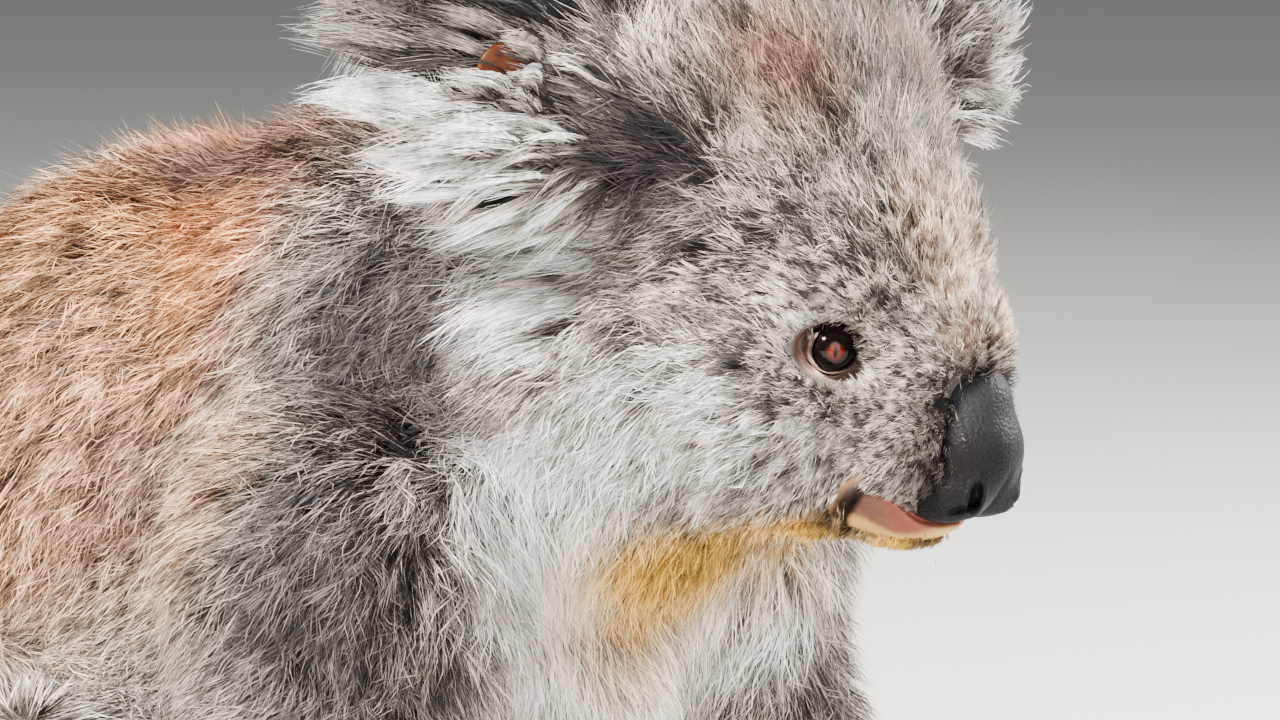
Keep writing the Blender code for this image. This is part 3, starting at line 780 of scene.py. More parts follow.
def coat_fields(mesh):
    """What the coat needs at every vertex of the skin."""
    points, edges = points_of(mesh), edges_of(mesh)
    normals = unit(spread(normals_of(mesh), edges, 6))
    parts = attribute_of(mesh, "part", np.int32)
    names = KINDS[parts]
    place = in_head(points)
    x, y, z = place.T
    head, jaw, ear = names == "head", names == "jaw", np.isin(names, ("ear_left", "ear_right"))
    from_nose = np.linalg.norm(place - NOSE_FRONT, axis=1)
    length, width, density = np.array([COAT[name][1:4] for name in KINDS])[parts].T
    # The face's hair grows longer and sparser from the nose back to the cheeks and crown.
    skirt = ease(-0.050, -0.068, x) * ease(0.030, 0.050, np.abs(y)) * ease(-0.03, 0.01, z)
    length = np.where(head, 0.0040 + 0.014 * ease(0.022, 0.110, from_nose) + 0.030 * skirt, length)
    width = np.where(head, 0.00030 + 0.00012 * ease(0.03, 0.10, from_nose) - 0.00006 * skirt, width)
    density = np.where(head, 2.3 - 1.1 * ease(0.03, 0.10, from_nose), density)
    ruff = blob(folded(points), (0.085, -0.060, 0.205), (0.050, 0.070, 0.080), 0.6)
    ruff = ruff * np.isin(names, ("neck", "chest"))
    length = length * (1 + 0.45 * ruff)
    lip_hair = np.minimum(length, 0.0016 + 0.28 * np.maximum(z - mouth_line(x), 0.0))
    length = np.where(over_lips(place) > 0.05, lip_hair, length)
    cup, lift = np.zeros(len(points)), np.zeros(len(points))
    for name, flap in EARS.items():
        basis = ear_basis(flap)
        here = names == "ear_" + name
        front = ease(-0.2, 0.4, (normals @ HEAD_TURN) @ basis[2])
        reach = (place - np.array(flap["base"])) @ basis[0]
        short, more, rise = flap["hair"]
        length = np.where(here, short + more * front * ease(-0.03, 0.02, reach), length)
        cup = np.where(here, front, cup)
        lift = np.where(here, rise, lift)
    # Hair that would run right across the tag ends short of its middle.
    lie = lie_of(points, normals, names)
    ahead, before, under, beyond = past_tag(place, lie, names)
    ended = np.clip(0.85 * ahead - 0.0010, 0.005, np.maximum(length, 0.005))
    length += (ended - length) * before + 0.4 * length * beyond
    lift *= 1 + 0.55 * before - 0.85 * under
    open_lids, start = np.ones(len(points)), 0.34 * ease(0.012, 0.004, length)
    for side in SIDES.values():
        away = from_eye(place, side)
        length = np.minimum(length, 0.0024 + 0.36 * np.maximum(away - 0.012, 0.0))
        start = np.maximum(start, 0.62 * ease(0.026, 0.014, away))
        along, up, _, rings = eye_space(place, side)
        bare = 1.60 + 0.44 * ease(0.003, -0.001, up - 0.4 * along)
        open_lids = np.minimum(open_lids, np.where(away < 0.03, ease(0.0, 0.25, rings - bare), 1.0))
    start += 0.25 * blob(folded(place), (0.028, -0.008, 0.012), (0.022, 0.020, 0.024), 0.8)
    height = np.where(ear, 0.004 + lift * cup, np.clip(attribute_of(mesh, "room"), 0.0008, 0.03))
    density = np.where(hidden_skin(points, normals, names), density * HIDDEN_SHARE, density)
    density = np.where(hairless(place, names, attribute_of(mesh, "lip")), 0.0, density)
    silk = np.maximum.reduce((np.where(names == "ear_left", 0.5, ear), skirt * head, 0.6 * ruff))
    return {
        "points": points, "normals": normals, "names": names,
        "length": spread(length, edges, 6),
        "width": spread(width, edges, 6),
        "height": spread(height, edges, 4),
        "density": spread(density, edges, 2) * open_lids,
        "follow": spread(1.0 - ear, edges, 2),
        "silk": spread(silk, edges, 4),
        "lie": along_surface(spread(lie, edges, 16), normals),
        "start": spread(np.maximum(start, 0.55 * jaw), edges, 2),
    }


def coat_regions(middles, names):
    """The coat piece that each of the skin's faces belongs to."""
    place = in_head(middles)
    side = np.where(middles[:, 1] > 0, "left", "right")
    region = np.char.add("back_", side).astype("U16")
    on_head = np.isin(names, ("head", "jaw"))
    region[on_head] = np.char.add("head_", np.where(place[:, 1] > 0, "left", "right"))[on_head]
    region[on_head & (place[:, 0] > -0.012) & (place[:, 2] < 0.020)] = "muzzle"
    for name in ("ear_left", "ear_right", "rump"):
        region[names == name] = name
    for label, parts in (("chest_", ("neck", "chest")), ("arm_", ARM), ("leg_", LEG)):
        here = np.isin(names, parts)
        region[here] = np.char.add(label, side)[here]
    return region


def region_map(skin, chosen):
    """An unwrap of one region of the skin: a row for each of the skin's faces in it, and their corners."""
    part = linked("region", skin.data.copy())
    count = len(part.data.polygons)
    home = part.data.attributes.new("home", "INT", "FACE")
    home.data.foreach_set("value", np.arange(count, dtype=np.int32))
    outside = np.ones(count, bool)
    outside[chosen] = False
    pick_faces(part, outside)
    edited(part, (bpy.ops.mesh.delete, {"type": "FACE"}), PICK_ALL,
           (bpy.ops.uv.smart_project, {"angle_limit": math.radians(75), "island_margin": 0.002}))
    uvs = read(part.data.uv_layers.active.data, "uv", 2).reshape(-1, 3, 2).astype(float)
    low, high = uvs.min(axis=(0, 1)), uvs.max(axis=(0, 1))
    rows = np.full(count, -1)
    rows[attribute_of(part.data, "home", np.int32)] = np.arange(len(uvs))
    bpy.data.objects.remove(part)
    return rows, (uvs - low) / (high - low)


class Guides:
    """Lines over the skin that tufts follow, from roots sown on some of its faces."""

    def __init__(self, fields, faces, tree, roots, rng, long_scale):
        self.rng, self.roots = rng, roots
        count = len(roots)
        first, second = np.sqrt(rng.random(count)), rng.random(count)
        self.weights = np.stack((1 - first, first * (1 - second), first * second), 1)
        corner = faces[roots]

        def at(name):
            values = fields[name][corner]
            return np.sum(values * self.weights.reshape(count, 3, *([1] * (values.ndim - 2))), axis=1)

        self.place, self.normal = at("points"), unit(at("normals"))
        self.length = at("length") * rng.uniform(0.85, 1.15, count) * long_scale
        self.width, self.start, self.follow, self.silk = at("width"), at("start"), at("follow"), at("silk")
        self.names = fields["names"][corner[:, 0]]
        spread_of_height = 0.14 + 0.20 * (1 - self.follow)
        self.height = at("height") * (0.94 + spread_of_height * rng.uniform(-1, 1, count))
        self.trace(fields, faces, tree, along_surface(at("lie"), self.normal))

    def trace(self, fields, faces, tree, way):
        """Walks each guide along the skin in the way the coat lies, rising from it to the tip."""
        rng, follow, count = self.rng, self.follow, len(self.roots)
        turn = rng.normal(0.0, 1.0, count) * (0.07 + 0.33 * (1 - self.silk))
        tilt = rng.uniform(0.9, 1.5, count)
        step = 0.93 * self.length / (SPINE_POINTS - 1)
        self.spine = np.empty((count, SPINE_POINTS, 3))
        self.out = np.empty_like(self.spine)
        here, normal = self.place.copy(), self.normal
        for index in range(SPINE_POINTS):
            share = index / (SPINE_POINTS - 1)
            rise = np.where(follow < 0.5, 1 - (1 - share) ** 3.5, np.sin(share * tilt) / np.sin(tilt))
            self.spine[:, index] = here + normal * (self.height * rise)[:, None]
            self.out[:, index] = normal
            heading = unit(way * np.cos(turn)[:, None] + np.cross(normal, way) * np.sin(turn)[:, None])
            heading[:, 2] -= (1.0 - follow) * share * 0.5
            ahead = here + heading * step[:, None]
            found = [tree.find_nearest(point) for point in ahead]
            snapped = np.array([hit[0] for hit in found])
            near = faces[[hit[2] for hit in found]]
            here = ahead + (snapped - ahead) * follow[:, None]
            normal = unit(normal + (fields["normals"][near].mean(axis=1) - normal) * follow[:, None])
            turned = (fields["lie"][near].mean(axis=1) - way) * (0.7 * follow)[:, None]
            way = along_surface(way + turned, normal)

    def bundle(self, spacing):
        """Draws the guides together into locks; returns each one's lock and its nearness to the middle."""
        place = self.place
        cells = np.floor((place - place.min(axis=0) + self.rng.uniform(0, spacing, 3)) / spacing).astype(int)
        leaders = np.unique(cells, axis=0, return_index=True)[1]
        tree = tree_of(place[leaders])
        found = [tree.find(point) for point in place]
        leader = leaders[[hit[1] for hit in found]]
        away = np.array([hit[2] for hit in found]) / spacing
        share = np.linspace(0, 1, SPINE_POINTS)[None, :, None]
        target = self.spine[leader] + (self.spine[:, :1] - self.spine[leader][:, :1]) * 0.25
        pull = (0.35 + 0.40 * self.silk)[:, None, None]
        self.spine += (target - self.spine) * pull * share ** 1.4
        shown = markings(self.spine[:, SPINE_POINTS - 2], self.names)
        self.marks = np.stack([shown[name] for name in MARK_NAMES], 1)
        return leader, 1 - np.clip(away / 0.7, 0, 1)


def along_spines(guides, guide, along):
    """The place on each hair's guide at a share of its length, and the skin's way out there."""
    spot = np.clip(along, 0, 1.0) * (SPINE_POINTS - 1)
    low = np.minimum(spot.astype(int), SPINE_POINTS - 2)
    rest = (spot - low)[:, None]
    base = guides.spine[guide, low] * (1 - rest) + guides.spine[guide, low + 1] * rest
    over = np.maximum(along - 1.0, 0.0)[:, None] * (SPINE_POINTS - 1)
    return base + over * (guides.spine[guide, -1] - guides.spine[guide, -2]), guides.out[guide, low]


def woven(left, right, tip):
    """Left and right values of every row, then the tip's, as the mesh's vertices have them."""
    values = np.empty((left.shape[0], 2 * left.shape[1] - 1, *left.shape[2:]))
    values[:, 0:-1:2], values[:, 1:-1:2], values[:, -1] = left[:, :-1], right[:, :-1], tip[:, -1]
    return values


def strands(guides, per_tuft, segments, gap, home, tone_and_shade_of_lock, curl, fine):
    """Tapered hairs round each guide, drawn together towards their tips: arrays for one mesh.

    gap is the room each hair has on the skin; fine hairs are single slivers that stray more.
    """
    rng, tufts = guides.rng, len(guides.spine)
    rows, per_hair = segments + 1, 2 * segments + 1
    guide = np.repeat(np.arange(tufts), per_tuft)
    count = len(guide)
    length, loose = guides.length[guide], curl[guide]
    normal = guides.out[guide, 0]
    way = unit(guides.spine[:, 2] - guides.spine[:, 0])[guide]
    across = unit(np.cross(normal, way))
    angle, away = rng.uniform(0, 2 * np.pi, count), np.sqrt(rng.random(count)) * gap[guide]
    shift = np.stack((np.cos(angle), np.sin(angle)), 1) * away[:, None]
    offset = across * shift[:, :1] + way * shift[:, 1:]
    reach = np.clip(rng.normal(0.92, 0.14, count), 0.5, 1.2)
    gather = rng.uniform(0.25, 0.85, tufts)[guide] * (0.6 if fine else 1.0)
    wave_size = WAVE * np.clip(rng.normal(0.0, 1.0, tufts), -2, 2)[guide] * length * loose
    wave_turn = rng.uniform(0, 2 * np.pi, tufts)[guide]
    stray = np.clip(rng.normal(0.0, 1.0, (count, 3)), -2, 2) * (length * loose)[:, None]
    stray *= FINE_STRAY if fine else STRAY
    stray -= normal * np.minimum(np.sum(stray * normal, axis=1), 0)[:, None] * 0.7
    share = 1 - (1 - np.linspace(0.0, 1.0, rows)) ** 1.5
    centre, skin_out = np.empty((count, rows, 3)), np.empty((count, rows, 3))
    for row, along in enumerate(share):
        base, skin_out[:, row] = along_spines(guides, guide, along * reach)
        bend = along * 6.5 + wave_turn
        sway = across * (wave_size * (np.sin(bend) - np.sin(wave_turn)))[:, None]
        sway += normal * (0.6 * wave_size * (np.cos(bend) - np.cos(wave_turn)) * along)[:, None]
        centre[:, row] = base + offset * (1 - gather * along ** 1.2)[:, None] + sway + stray * along ** 1.6
    tangent = unit(np.gradient(centre, axis=1))
    flat = unit(np.cross(tangent, skin_out))
    upward = unit(np.cross(flat, tangent))
    roll = rng.uniform(-0.9, 0.9, count)[:, None, None]
    edge = flat * np.cos(roll) + upward * np.sin(roll)
    face_out = upward * np.cos(roll) - flat * np.sin(roll)
    profile = np.interp(share, (0.0, 0.4, 0.8, 1.0), (0.6, 1.0, 0.75, 0.0)) * (1.25 if fine else 1.0)
    half = edge * ((guides.width[guide] * rng.uniform(0.75, 1.25, count))[:, None] * profile / 2)[..., None]
    shade = unit(skin_out * 0.7 + face_out * 0.3)
    wide, tall = np.full((1, rows), 0.5), share[None, :]
    across_map, along_map = woven(-wide, wide, 0 * wide)[0], woven(tall, tall, tall)[0]
    uv = home[guide] + rng.uniform(-PATCH_STRAY, PATCH_STRAY, (count, 2))
    uv = np.clip(uv, PATCH / 2, 1 - PATCH / 2)
    patch = np.stack((across_map, along_map - 0.5), 1) * PATCH
    ladder = [(2 * row, 2 * row + 1, 2 * row + 3, 2 * row + 2) for row in range(segments - 1)]
    ladder.append((2 * segments - 2, 2 * segments - 1, 2 * segments))
    tone = 0.5 + tone_and_shade_of_lock[guide] + rng.normal(0.0, TUFT_TONES, tufts)[guide]
    tone += rng.normal(0.0, HAIR_TONES, count)
    return {
        "points": woven(centre - half, centre + half, centre).reshape(-1, 3),
        "shade": woven(shade, shade, shade).reshape(-1, 3),
        "along": (along_map[None] + guides.start[guide, None] * (1 - along_map)[None]).ravel(),
        "tone": np.repeat(np.clip(tone, 0, 1), per_hair),
        "marks": np.repeat(guides.marks[guide], per_hair, axis=0),
        "uv": (uv[:, None] + patch).reshape(-1, 2),
        "loops": (np.concatenate(ladder)[None] + (np.arange(count) * per_hair)[:, None]).ravel(),
        "sizes": np.tile([len(step) for step in ladder], count),
    }


def coat_piece(name, parts):
    """One mesh from several lots of strands."""
    starts = np.cumsum([0] + [len(part["points"]) for part in parts[:-1]])
    whole = {key: np.concatenate([part[key] for part in parts]) for key in parts[0] if key != "loops"}
    whole["points"][:, 2] = np.maximum(whole["points"][:, 2], FLOOR_GAP)
    loops = np.concatenate([part["loops"] + start for part, start in zip(parts, starts)]).astype(np.int32)
    mesh = bpy.data.meshes.new(name)
    mesh.vertices.add(len(whole["points"]))
    mesh.vertices.foreach_set("co", whole["points"].astype(np.float32).ravel())
    mesh.loops.add(len(loops))
    mesh.loops.foreach_set("vertex_index", loops)
    mesh.polygons.add(len(whole["sizes"]))
    firsts = np.cumsum(whole["sizes"]) - whole["sizes"]
    mesh.polygons.foreach_set("loop_start", firsts.astype(np.int32))
    mesh.update(calc_edges=True)
    mesh.polygons.foreach_set("use_smooth", np.ones(len(firsts), bool))
    layer = mesh.uv_layers.new(name="OFBake")
    layer.data.foreach_set("uv", whole["uv"][loops].astype(np.float32).ravel())
    put_attribute(mesh, "along", whole["along"])
    put_attribute(mesh, "tone", whole["tone"])
    for mark, values in zip(MARK_NAMES, whole["marks"].T):
        put_attribute(mesh, mark, values)
    mesh.normals_split_custom_set_from_vertices(whole["shade"].astype(np.float32))
    return linked(name, mesh)


def lock_spacing(region):
    """How far apart the locks of a region stand."""
    if region.startswith("ear"):
        return 0.008
    return 0.0042 if region.startswith(("muzzle", "arm", "leg")) else 0.006


def segments_in(region):
    """Segments in each of a region's long hairs."""
    if region.startswith("ear"):
        return 4
    return 2 if region.startswith(("muzzle", "leg", "rump", "arm")) else 3


def grow_coat(skin, budget, long_scale, curl, seed=7):
    """Every coat piece, grown from the skin."""
    rng = np.random.default_rng(seed)
    mesh = skin.data
    fields = coat_fields(mesh)
    faces = read(mesh.loops, "vertex_index", 1, np.int32).reshape(-1, 3)
    corners = fields["points"][faces]
    area = np.linalg.norm(np.cross(corners[:, 1] - corners[:, 0], corners[:, 2] - corners[:, 0]), axis=1) / 2
    region = coat_regions(corners.mean(axis=1), fields["names"][faces[:, 0]])
    tree = BVHTree.FromPolygons(fields["points"].tolist(), faces.tolist(), all_triangles=True)
    density = fields["density"][faces].mean(axis=1) * 1e6
    labels = sorted(set(region))
    tufts = {label: EAR_TUFT if label.startswith("ear") else TUFT for label in labels}
    # Triangles for each long hair, with its share of the fine ones.
    cost = {label: 2 * segments_in(label) - 1 + tuft["fine"] / tuft["hairs"] for label, tuft in tufts.items()}
    spent = area * density * np.array([cost[label] for label in region])
    scale = budget / spent.sum()
    pieces = []
    for label in labels:
        chosen = np.flatnonzero(region == label)
        tuft = tufts[label]
        density[chosen] *= min(scale, PIECE_TRIANGLES / spent[chosen].sum())
        expected = area[chosen] * density[chosen] / tuft["hairs"]
        roots = chosen[rng.choice(len(chosen), int(expected.sum()), p=expected / expected.sum())]
        guides = Guides(fields, faces, tree, roots, rng, long_scale)
        leader, nearness = guides.bundle(lock_spacing(label))
        # Partly painted shade between the locks: hairs towards a lock's edge are darker and those at its
        # middle paler. Partly a random tone for each lock on top.
        lock_shade_and_tone = (0.25 + 0.35 * guides.silk) * (nearness - 0.5)
        lock_shade_and_tone += (0.09 + 0.21 * guides.silk) * rng.normal(0.0, 1.0, len(roots))[leader]
        rows, corners_uv = region_map(skin, chosen)
        home = np.sum(corners_uv[rows[roots]] * guides.weights[:, :, None], axis=1)
        gap = np.sqrt(tuft["hairs"] / density[roots] / np.pi) * 1.15
        loose = (1 - 0.65 * guides.silk) * curl
        lots = [strands(guides, tuft["hairs"], segments_in(label), gap, home, lock_shade_and_tone, loose, False)]
        if tuft["fine"]:
            lots.append(strands(guides, tuft["fine"], 1, gap * 1.3, home, lock_shade_and_tone, loose, True))
        pieces.append(coat_piece("coat_" + label, lots))
    return pieces


# ---------------------------------------------------------------- eyes, nose, claws, tag


def build_eye(side_name):
    """A wet ball with a slightly raised window over the iris."""
    eye = sphere("eyeball_" + side_name, 64, 48)
    centre, gaze = eye_place(SIDES[side_name])
    points = points_of(eye.data)
    up = np.array((0.0, 0.0, 1.0))
    across = unit(np.cross(up, gaze))
    # The sphere's poles look along the gaze, so the iris has even rings.
    turned = points[:, :1] * across + points[:, 1:2] * up + points[:, 2:3] * gaze
    swell = 1 + 0.045 * ease(0.62, 0.95, points[:, 2])
    put_points(eye.data, from_head(centre + turned * (EYE_RADIUS * swell)[:, None]))
    put_attribute(eye.data, "gaze", points * EYE_RADIUS * 1000, "FLOAT_VECTOR")
    return smooth_outside(eye)


def pit(place, centre, long_way, sizes, depth, inward):
    """Presses a long hollow into places near centre, with a soft raised edge."""
    off = place - centre
    inward = unit(np.array(inward, float))
    long_way = unit(np.array(long_way, float))
    reach = np.hypot(off @ long_way / sizes[0], off @ unit(np.cross(inward, long_way)) / sizes[1])
    press = depth * (1 - ease(0.35, 1.15, reach)) - 0.16 * depth * np.exp(-((reach - 1.35) / 0.25) ** 2)
    return place + inward * press[:, None]


def build_nose():
    """The leather pad, with its nostrils and the groove between them."""
    nose = node_copy("nose")
    nose.name = "nose_pad"
    remeshed(nose, 0.0009, 90)
    modified(nose, "DISPLACE", strength=0.0009, mid_level=0.0)
    place = in_head(points_of(nose.data))
    x, y, z = place.T
    place[:, 0] -= 0.0011 * np.exp(-(y / 0.0011) ** 2) * ease(0.028, 0.040, x) * ease(-0.030, -0.040, z)
    for side in SIDES.values():
        inward = np.array((-0.62, -0.74 * side, 0.10))
        mouth = NOSTRIL * (1, side, 1)
        place = pit(place, mouth, (0.25, 0.10 * side, 0.95), (0.0052, 0.0021), 0.0042, inward)
        wing = mouth + (-0.0035, 0.0015 * side, -0.0035)
        place = pit(place, wing, (-0.8, 0.2 * side, -0.25), (0.0050, 0.0014), 0.0022, inward)
    # Behind its border the pad sinks into the muzzle, where the coat grows over it.
    sink = 0.0060 * ease(0.0005, -0.0035, past_border(place))
    place -= unit(place - NOSE_MIDDLE) * sink[:, None]
    put_points(nose.data, from_head(place))
    put_attribute(nose.data, "pad", place * 1000, "FLOAT_VECTOR")
    return smooth_outside(nose)


def centre_line(points, count):
    """Middles of a long body's slices from end to end, and each slice's radius."""
    centre = points.mean(axis=0)
    axis = np.linalg.svd(points - centre)[2][0]
    along = (points - centre) @ axis
    window = (along.max() - along.min()) / (count - 1)
    line, radii = [], []
    for station in np.linspace(along.min(), along.max(), count):
        near = points[np.abs(along - station) <= window * 0.75]
        line.append(near.mean(axis=0))
        off = near - line[-1]
        radii.append(np.linalg.norm(off - np.outer(off @ axis, axis), axis=1).mean())
    return np.array(line), np.array(radii)


def build_claw(node):
    """A curved claw, deep at its root and sharp at its tip, along the solid's own line."""
    line, radii = centre_line(points_of(NODES[node].data), 5)
    if radii[0] < radii[-1]:
        line = line[::-1]
    claw = sphere("horn_" + node, 20, 24)
    points = points_of(claw.data)
    share = (1 - points[:, 2:3]) / 2
    curve = np.polynomial.polynomial.polyfit(np.linspace(0, 1, len(line)), line, 2)
    centre = curve[0] + share * curve[1] + share ** 2 * curve[2]
    heading = unit(curve[1] + 2 * share * curve[2])
    across = unit(np.cross(heading, np.array((0.0, 0.0, 1.0))))
    upward = np.cross(across, heading)
    thick = radii.max() * 1.05 * np.sqrt(np.clip(1 - share ** 1.6, 0, 1)) * np.sqrt(ease(-0.02, 0.10, share))
    ring = unit(points * (1, 1, 0) + (1e-9, 0, 0))
    put_points(claw.data, centre + (across * ring[:, :1] * 0.72 + upward * ring[:, 1:2]) * thick)
    put_attribute(claw.data, "along", share[:, 0])
    return smooth_outside(claw)


def disc(name, sides, radius, depth, centre, axis):
    """A round plate with soft edges, its faces looking along axis."""
    bpy.ops.object.select_all(action="DESELECT")
    bpy.ops.mesh.primitive_cylinder_add(vertices=sides, radius=float(radius), depth=float(depth))
    made = new_object(name)
    turn = Vector(axis).to_track_quat("Z", "Y").to_matrix().to_4x4()
    made.matrix_world = Matrix.Translation(centre) @ turn
    bpy.ops.object.transform_apply(location=True, rotation=True, scale=True)
    return modified(made, "BEVEL", width=float(min(depth, radius)) * 0.3, segments=4, limit_method="ANGLE")


def build_tag():
    """The plain bare disc worn in the right ear, on its short post."""
    points = points_of(NODES["ear_tag"].data)
    centre = (points.min(axis=0) + points.max(axis=0)) / 2
    axis = np.linalg.svd(points - points.mean(axis=0))[2][2]
    if axis @ (HEAD_TURN @ np.array(EARS["right"]["face"])) < 0:
        axis = -axis
    radius = np.linalg.norm(points - centre, axis=1).max()
    face = disc("tag_face", 64, radius, np.ptp(points @ axis), centre, axis)
    post = disc("tag_post", 24, 0.0022, 0.012, centre - axis * 0.006, axis)
    tag = joined("tag", post, face)
    bpy.ops.object.shade_smooth_by_angle(angle=math.radians(40))
    return tag


# ---------------------------------------------------------------- materials


def sum_of(operation, swapped=False):
    """An operator of Value that joins two of them by one maths node."""
    def method(self, other):
        return self.paint.math(operation, *((other, self) if swapped else (self, other)))
    return method


class Value:
    """A material socket that takes part in sums."""

    def __init__(self, paint, socket):
        self.paint, self.socket = paint, socket

    __add__ = __radd__ = sum_of("ADD")
    __mul__ = __rmul__ = sum_of("MULTIPLY")
    __sub__, __rsub__ = sum_of("SUBTRACT"), sum_of("SUBTRACT", swapped=True)
    __truediv__ = sum_of("DIVIDE")


class Paint:
    """Builds one material; every value in it is a Value or a plain number or colour."""

    def __init__(self, name, **settings):
        self.material = bpy.data.materials.new(name)
        self.material.use_nodes = True
        self.nodes, self.links = self.material.node_tree.nodes, self.material.node_tree.links
        self.shader = self.nodes["Principled BSDF"]
        for socket, value in settings.items():
            self.shader.inputs[socket.replace("_", " ")].default_value = value

    def node(self, kind_of, settings, inputs, output=0):
        made = self.nodes.new(kind_of)
        for name, value in settings.items():
            setattr(made, name, value)
        for key, value in inputs.items():
            self.feed(made.inputs[key], value)
        return Value(self, made.outputs[output])

    def feed(self, socket, value):
        if isinstance(value, Value):
            self.links.new(value.socket, socket)
        elif socket.type == "RGBA":
            socket.default_value = (*value[:3], 1.0)
        else:
            socket.default_value = value

    def set(self, socket, value):
        self.feed(self.shader.inputs[socket], value)

    def math(self, operation, *values):
        return self.node("ShaderNodeMath", {"operation": operation}, dict(enumerate(values)))

    def mix(self, share, first, second, blend="MIX"):
        settings = {"data_type": "RGBA", "blend_type": blend}
        return self.node("ShaderNodeMix", settings, {0: share, 6: first, 7: second}, 2)

    def rise(self, value, low, high):
        settings = {"interpolation_type": "SMOOTHSTEP"}
        return self.node("ShaderNodeMapRange", settings, {"Value": value, "From Min": low, "From Max": high})

    def attribute(self, name):
        return self.node("ShaderNodeAttribute", {"attribute_name": name}, {}, 2)

    def axes(self, name):
        """The three parts of a vector attribute."""
        vector = self.node("ShaderNodeAttribute", {"attribute_name": name}, {}, 1)
        split = self.node("ShaderNodeSeparateXYZ", {}, {0: vector})
        return [Value(self, output) for output in split.socket.node.outputs]

    def noise(self, scale, detail=2.0, where=None):
        where = where or self.node("ShaderNodeTexCoord", {}, {}, 3)
        return self.node("ShaderNodeTexNoise", {}, {"Vector": where, "Scale": scale, "Detail": detail})

    def grey(self, value):
        return self.node("ShaderNodeCombineColor", {}, {0: value, 1: value, 2: value})

    def bump(self, height, distance):
        inputs = {"Height": height, "Distance": distance, "Strength": 1.0}
        self.set("Normal", self.node("ShaderNodeBump", {}, inputs))


def marked(paint):
    """Root, middle and tip colours of the coat, from its markings."""
    colours = FUR["grey"]
    for name in MARK_NAMES:
        share = paint.attribute(name)
        colours = [paint.mix(share, was, now) for was, now in zip(colours, FUR[name])]
    return colours


def coat_material():
    """Dark roots, pale tips, and blotches and flecks of tone that fade on the whitest coat."""
    paint = Paint("fur", Roughness=0.62, Specular_IOR_Level=0.25)
    along, tone = paint.attribute("along"), paint.attribute("tone")
    root, middle_colour, tip = marked(paint)
    low = paint.mix(paint.rise(along + (tone - 0.5) * 0.6, 0.25, 0.75), root, middle_colour)
    colour = paint.mix(paint.rise(along + (tone - 0.5) * 1.1, 0.60, 1.0), low, tip)
    blotch = paint.rise(paint.noise(110.0), 0.32, 0.62)
    fleck = paint.rise(paint.noise(420.0), 0.34, 0.60)
    # tone holds each hair's random tone and the painted shade between locks.
    shade = (0.50 + 0.58 * blotch) * (0.52 + 0.55 * fleck) * (0.42 + 1.0 * tone)
    pale = paint.attribute("pale")
    shade = shade + (1.0 - shade) * 0.8 * pale * pale
    paint.set("Base Color", paint.mix(1.0, colour, paint.grey(shade), "MULTIPLY"))
    return paint.material


def skin_material(lip_colour):
    """Dark where the coat roots in it, pinkish where the lids and lips are bare, and painted shade, near
    black, along the mouth's line and in its corners.
    """
    paint = Paint("skin", Specular_IOR_Level=0.22)
    root, middle_colour, tip = marked(paint)
    wide, fine = paint.noise(160.0, 3.0), paint.noise(900.0, 3.0)
    colour = paint.mix(0.16, paint.mix(paint.rise(fine, 0.35, 0.65) * 0.8, root, middle_colour), tip)
    colour = paint.mix(paint.rise(paint.noise(2600.0), 0.52, 0.66) * 0.5, colour, tip)
    lid = paint.mix(paint.attribute("lid_pink"), hue(106, 82, 74), hue(232, 198, 184))
    lid = paint.mix(paint.rise(wide, 0.35, 0.65) * 0.3, lid, hue(136, 106, 98))
    colour = paint.mix(paint.attribute("lid"), colour, lid)
    colour = paint.mix(paint.attribute("lid_edge"), colour, hue(30, 21, 20))
    lip = paint.mix(paint.attribute("lip_front"), hue(86, 56, 48), lip_colour)
    lip = paint.mix(paint.rise(wide, 0.3, 0.7) * 0.5, lip, hue(124, 78, 64))
    lip = paint.mix(paint.attribute("cream"), lip, hue(184, 142, 78))
    colour = paint.mix(paint.attribute("lip"), colour, lip)
    # Painted shade: near black and rougher along the mouth's line and in its corners.
    mouth = paint.attribute("mouth")
    paint.set("Base Color", paint.mix(mouth, colour, hue(26, 10, 4)))
    paint.set("Roughness", 0.42 + 0.25 * fine + 0.3 * mouth)
    paint.bump(wide * 0.6 + fine * 0.4, 0.0005)
    return paint.material


def eye_material(iris_colour):
    """Iris, pupil and dark rim, from places in millimetres on the ball."""
    paint = Paint("eye", Roughness=0.12, Coat_Weight=0.2, Coat_Roughness=0.02, Specular_IOR_Level=0.06)
    x, y, z = paint.axes("gaze")
    reach = paint.math("SQRT", x * x + y * y)
    polar = paint.node("ShaderNodeCombineXYZ", {}, {0: paint.math("ARCTAN2", y, x) * 7.0, 1: reach * 0.35})
    fibres = paint.noise(1.0, 3.0, polar)
    iris = paint.mix(paint.rise(reach, 0.8, 3.0), iris_colour, hue(28, 10, 7))
    iris = paint.mix(paint.rise(fibres, 0.35, 0.7) * 0.6, iris, hue(24, 9, 6))
    slit = paint.math("SQRT", x * x / 0.30 + y * y / 2.2)
    colour = paint.mix(paint.rise(slit, 0.9, 1.5), hue(4, 3, 3), iris)
    colour = paint.mix(paint.rise(reach, 2.5, 3.5), colour, hue(8, 5, 4))
    paint.set("Base Color", paint.mix(paint.rise(z, 2.0, -1.0), colour, hue(70, 50, 44)))
    return paint.material


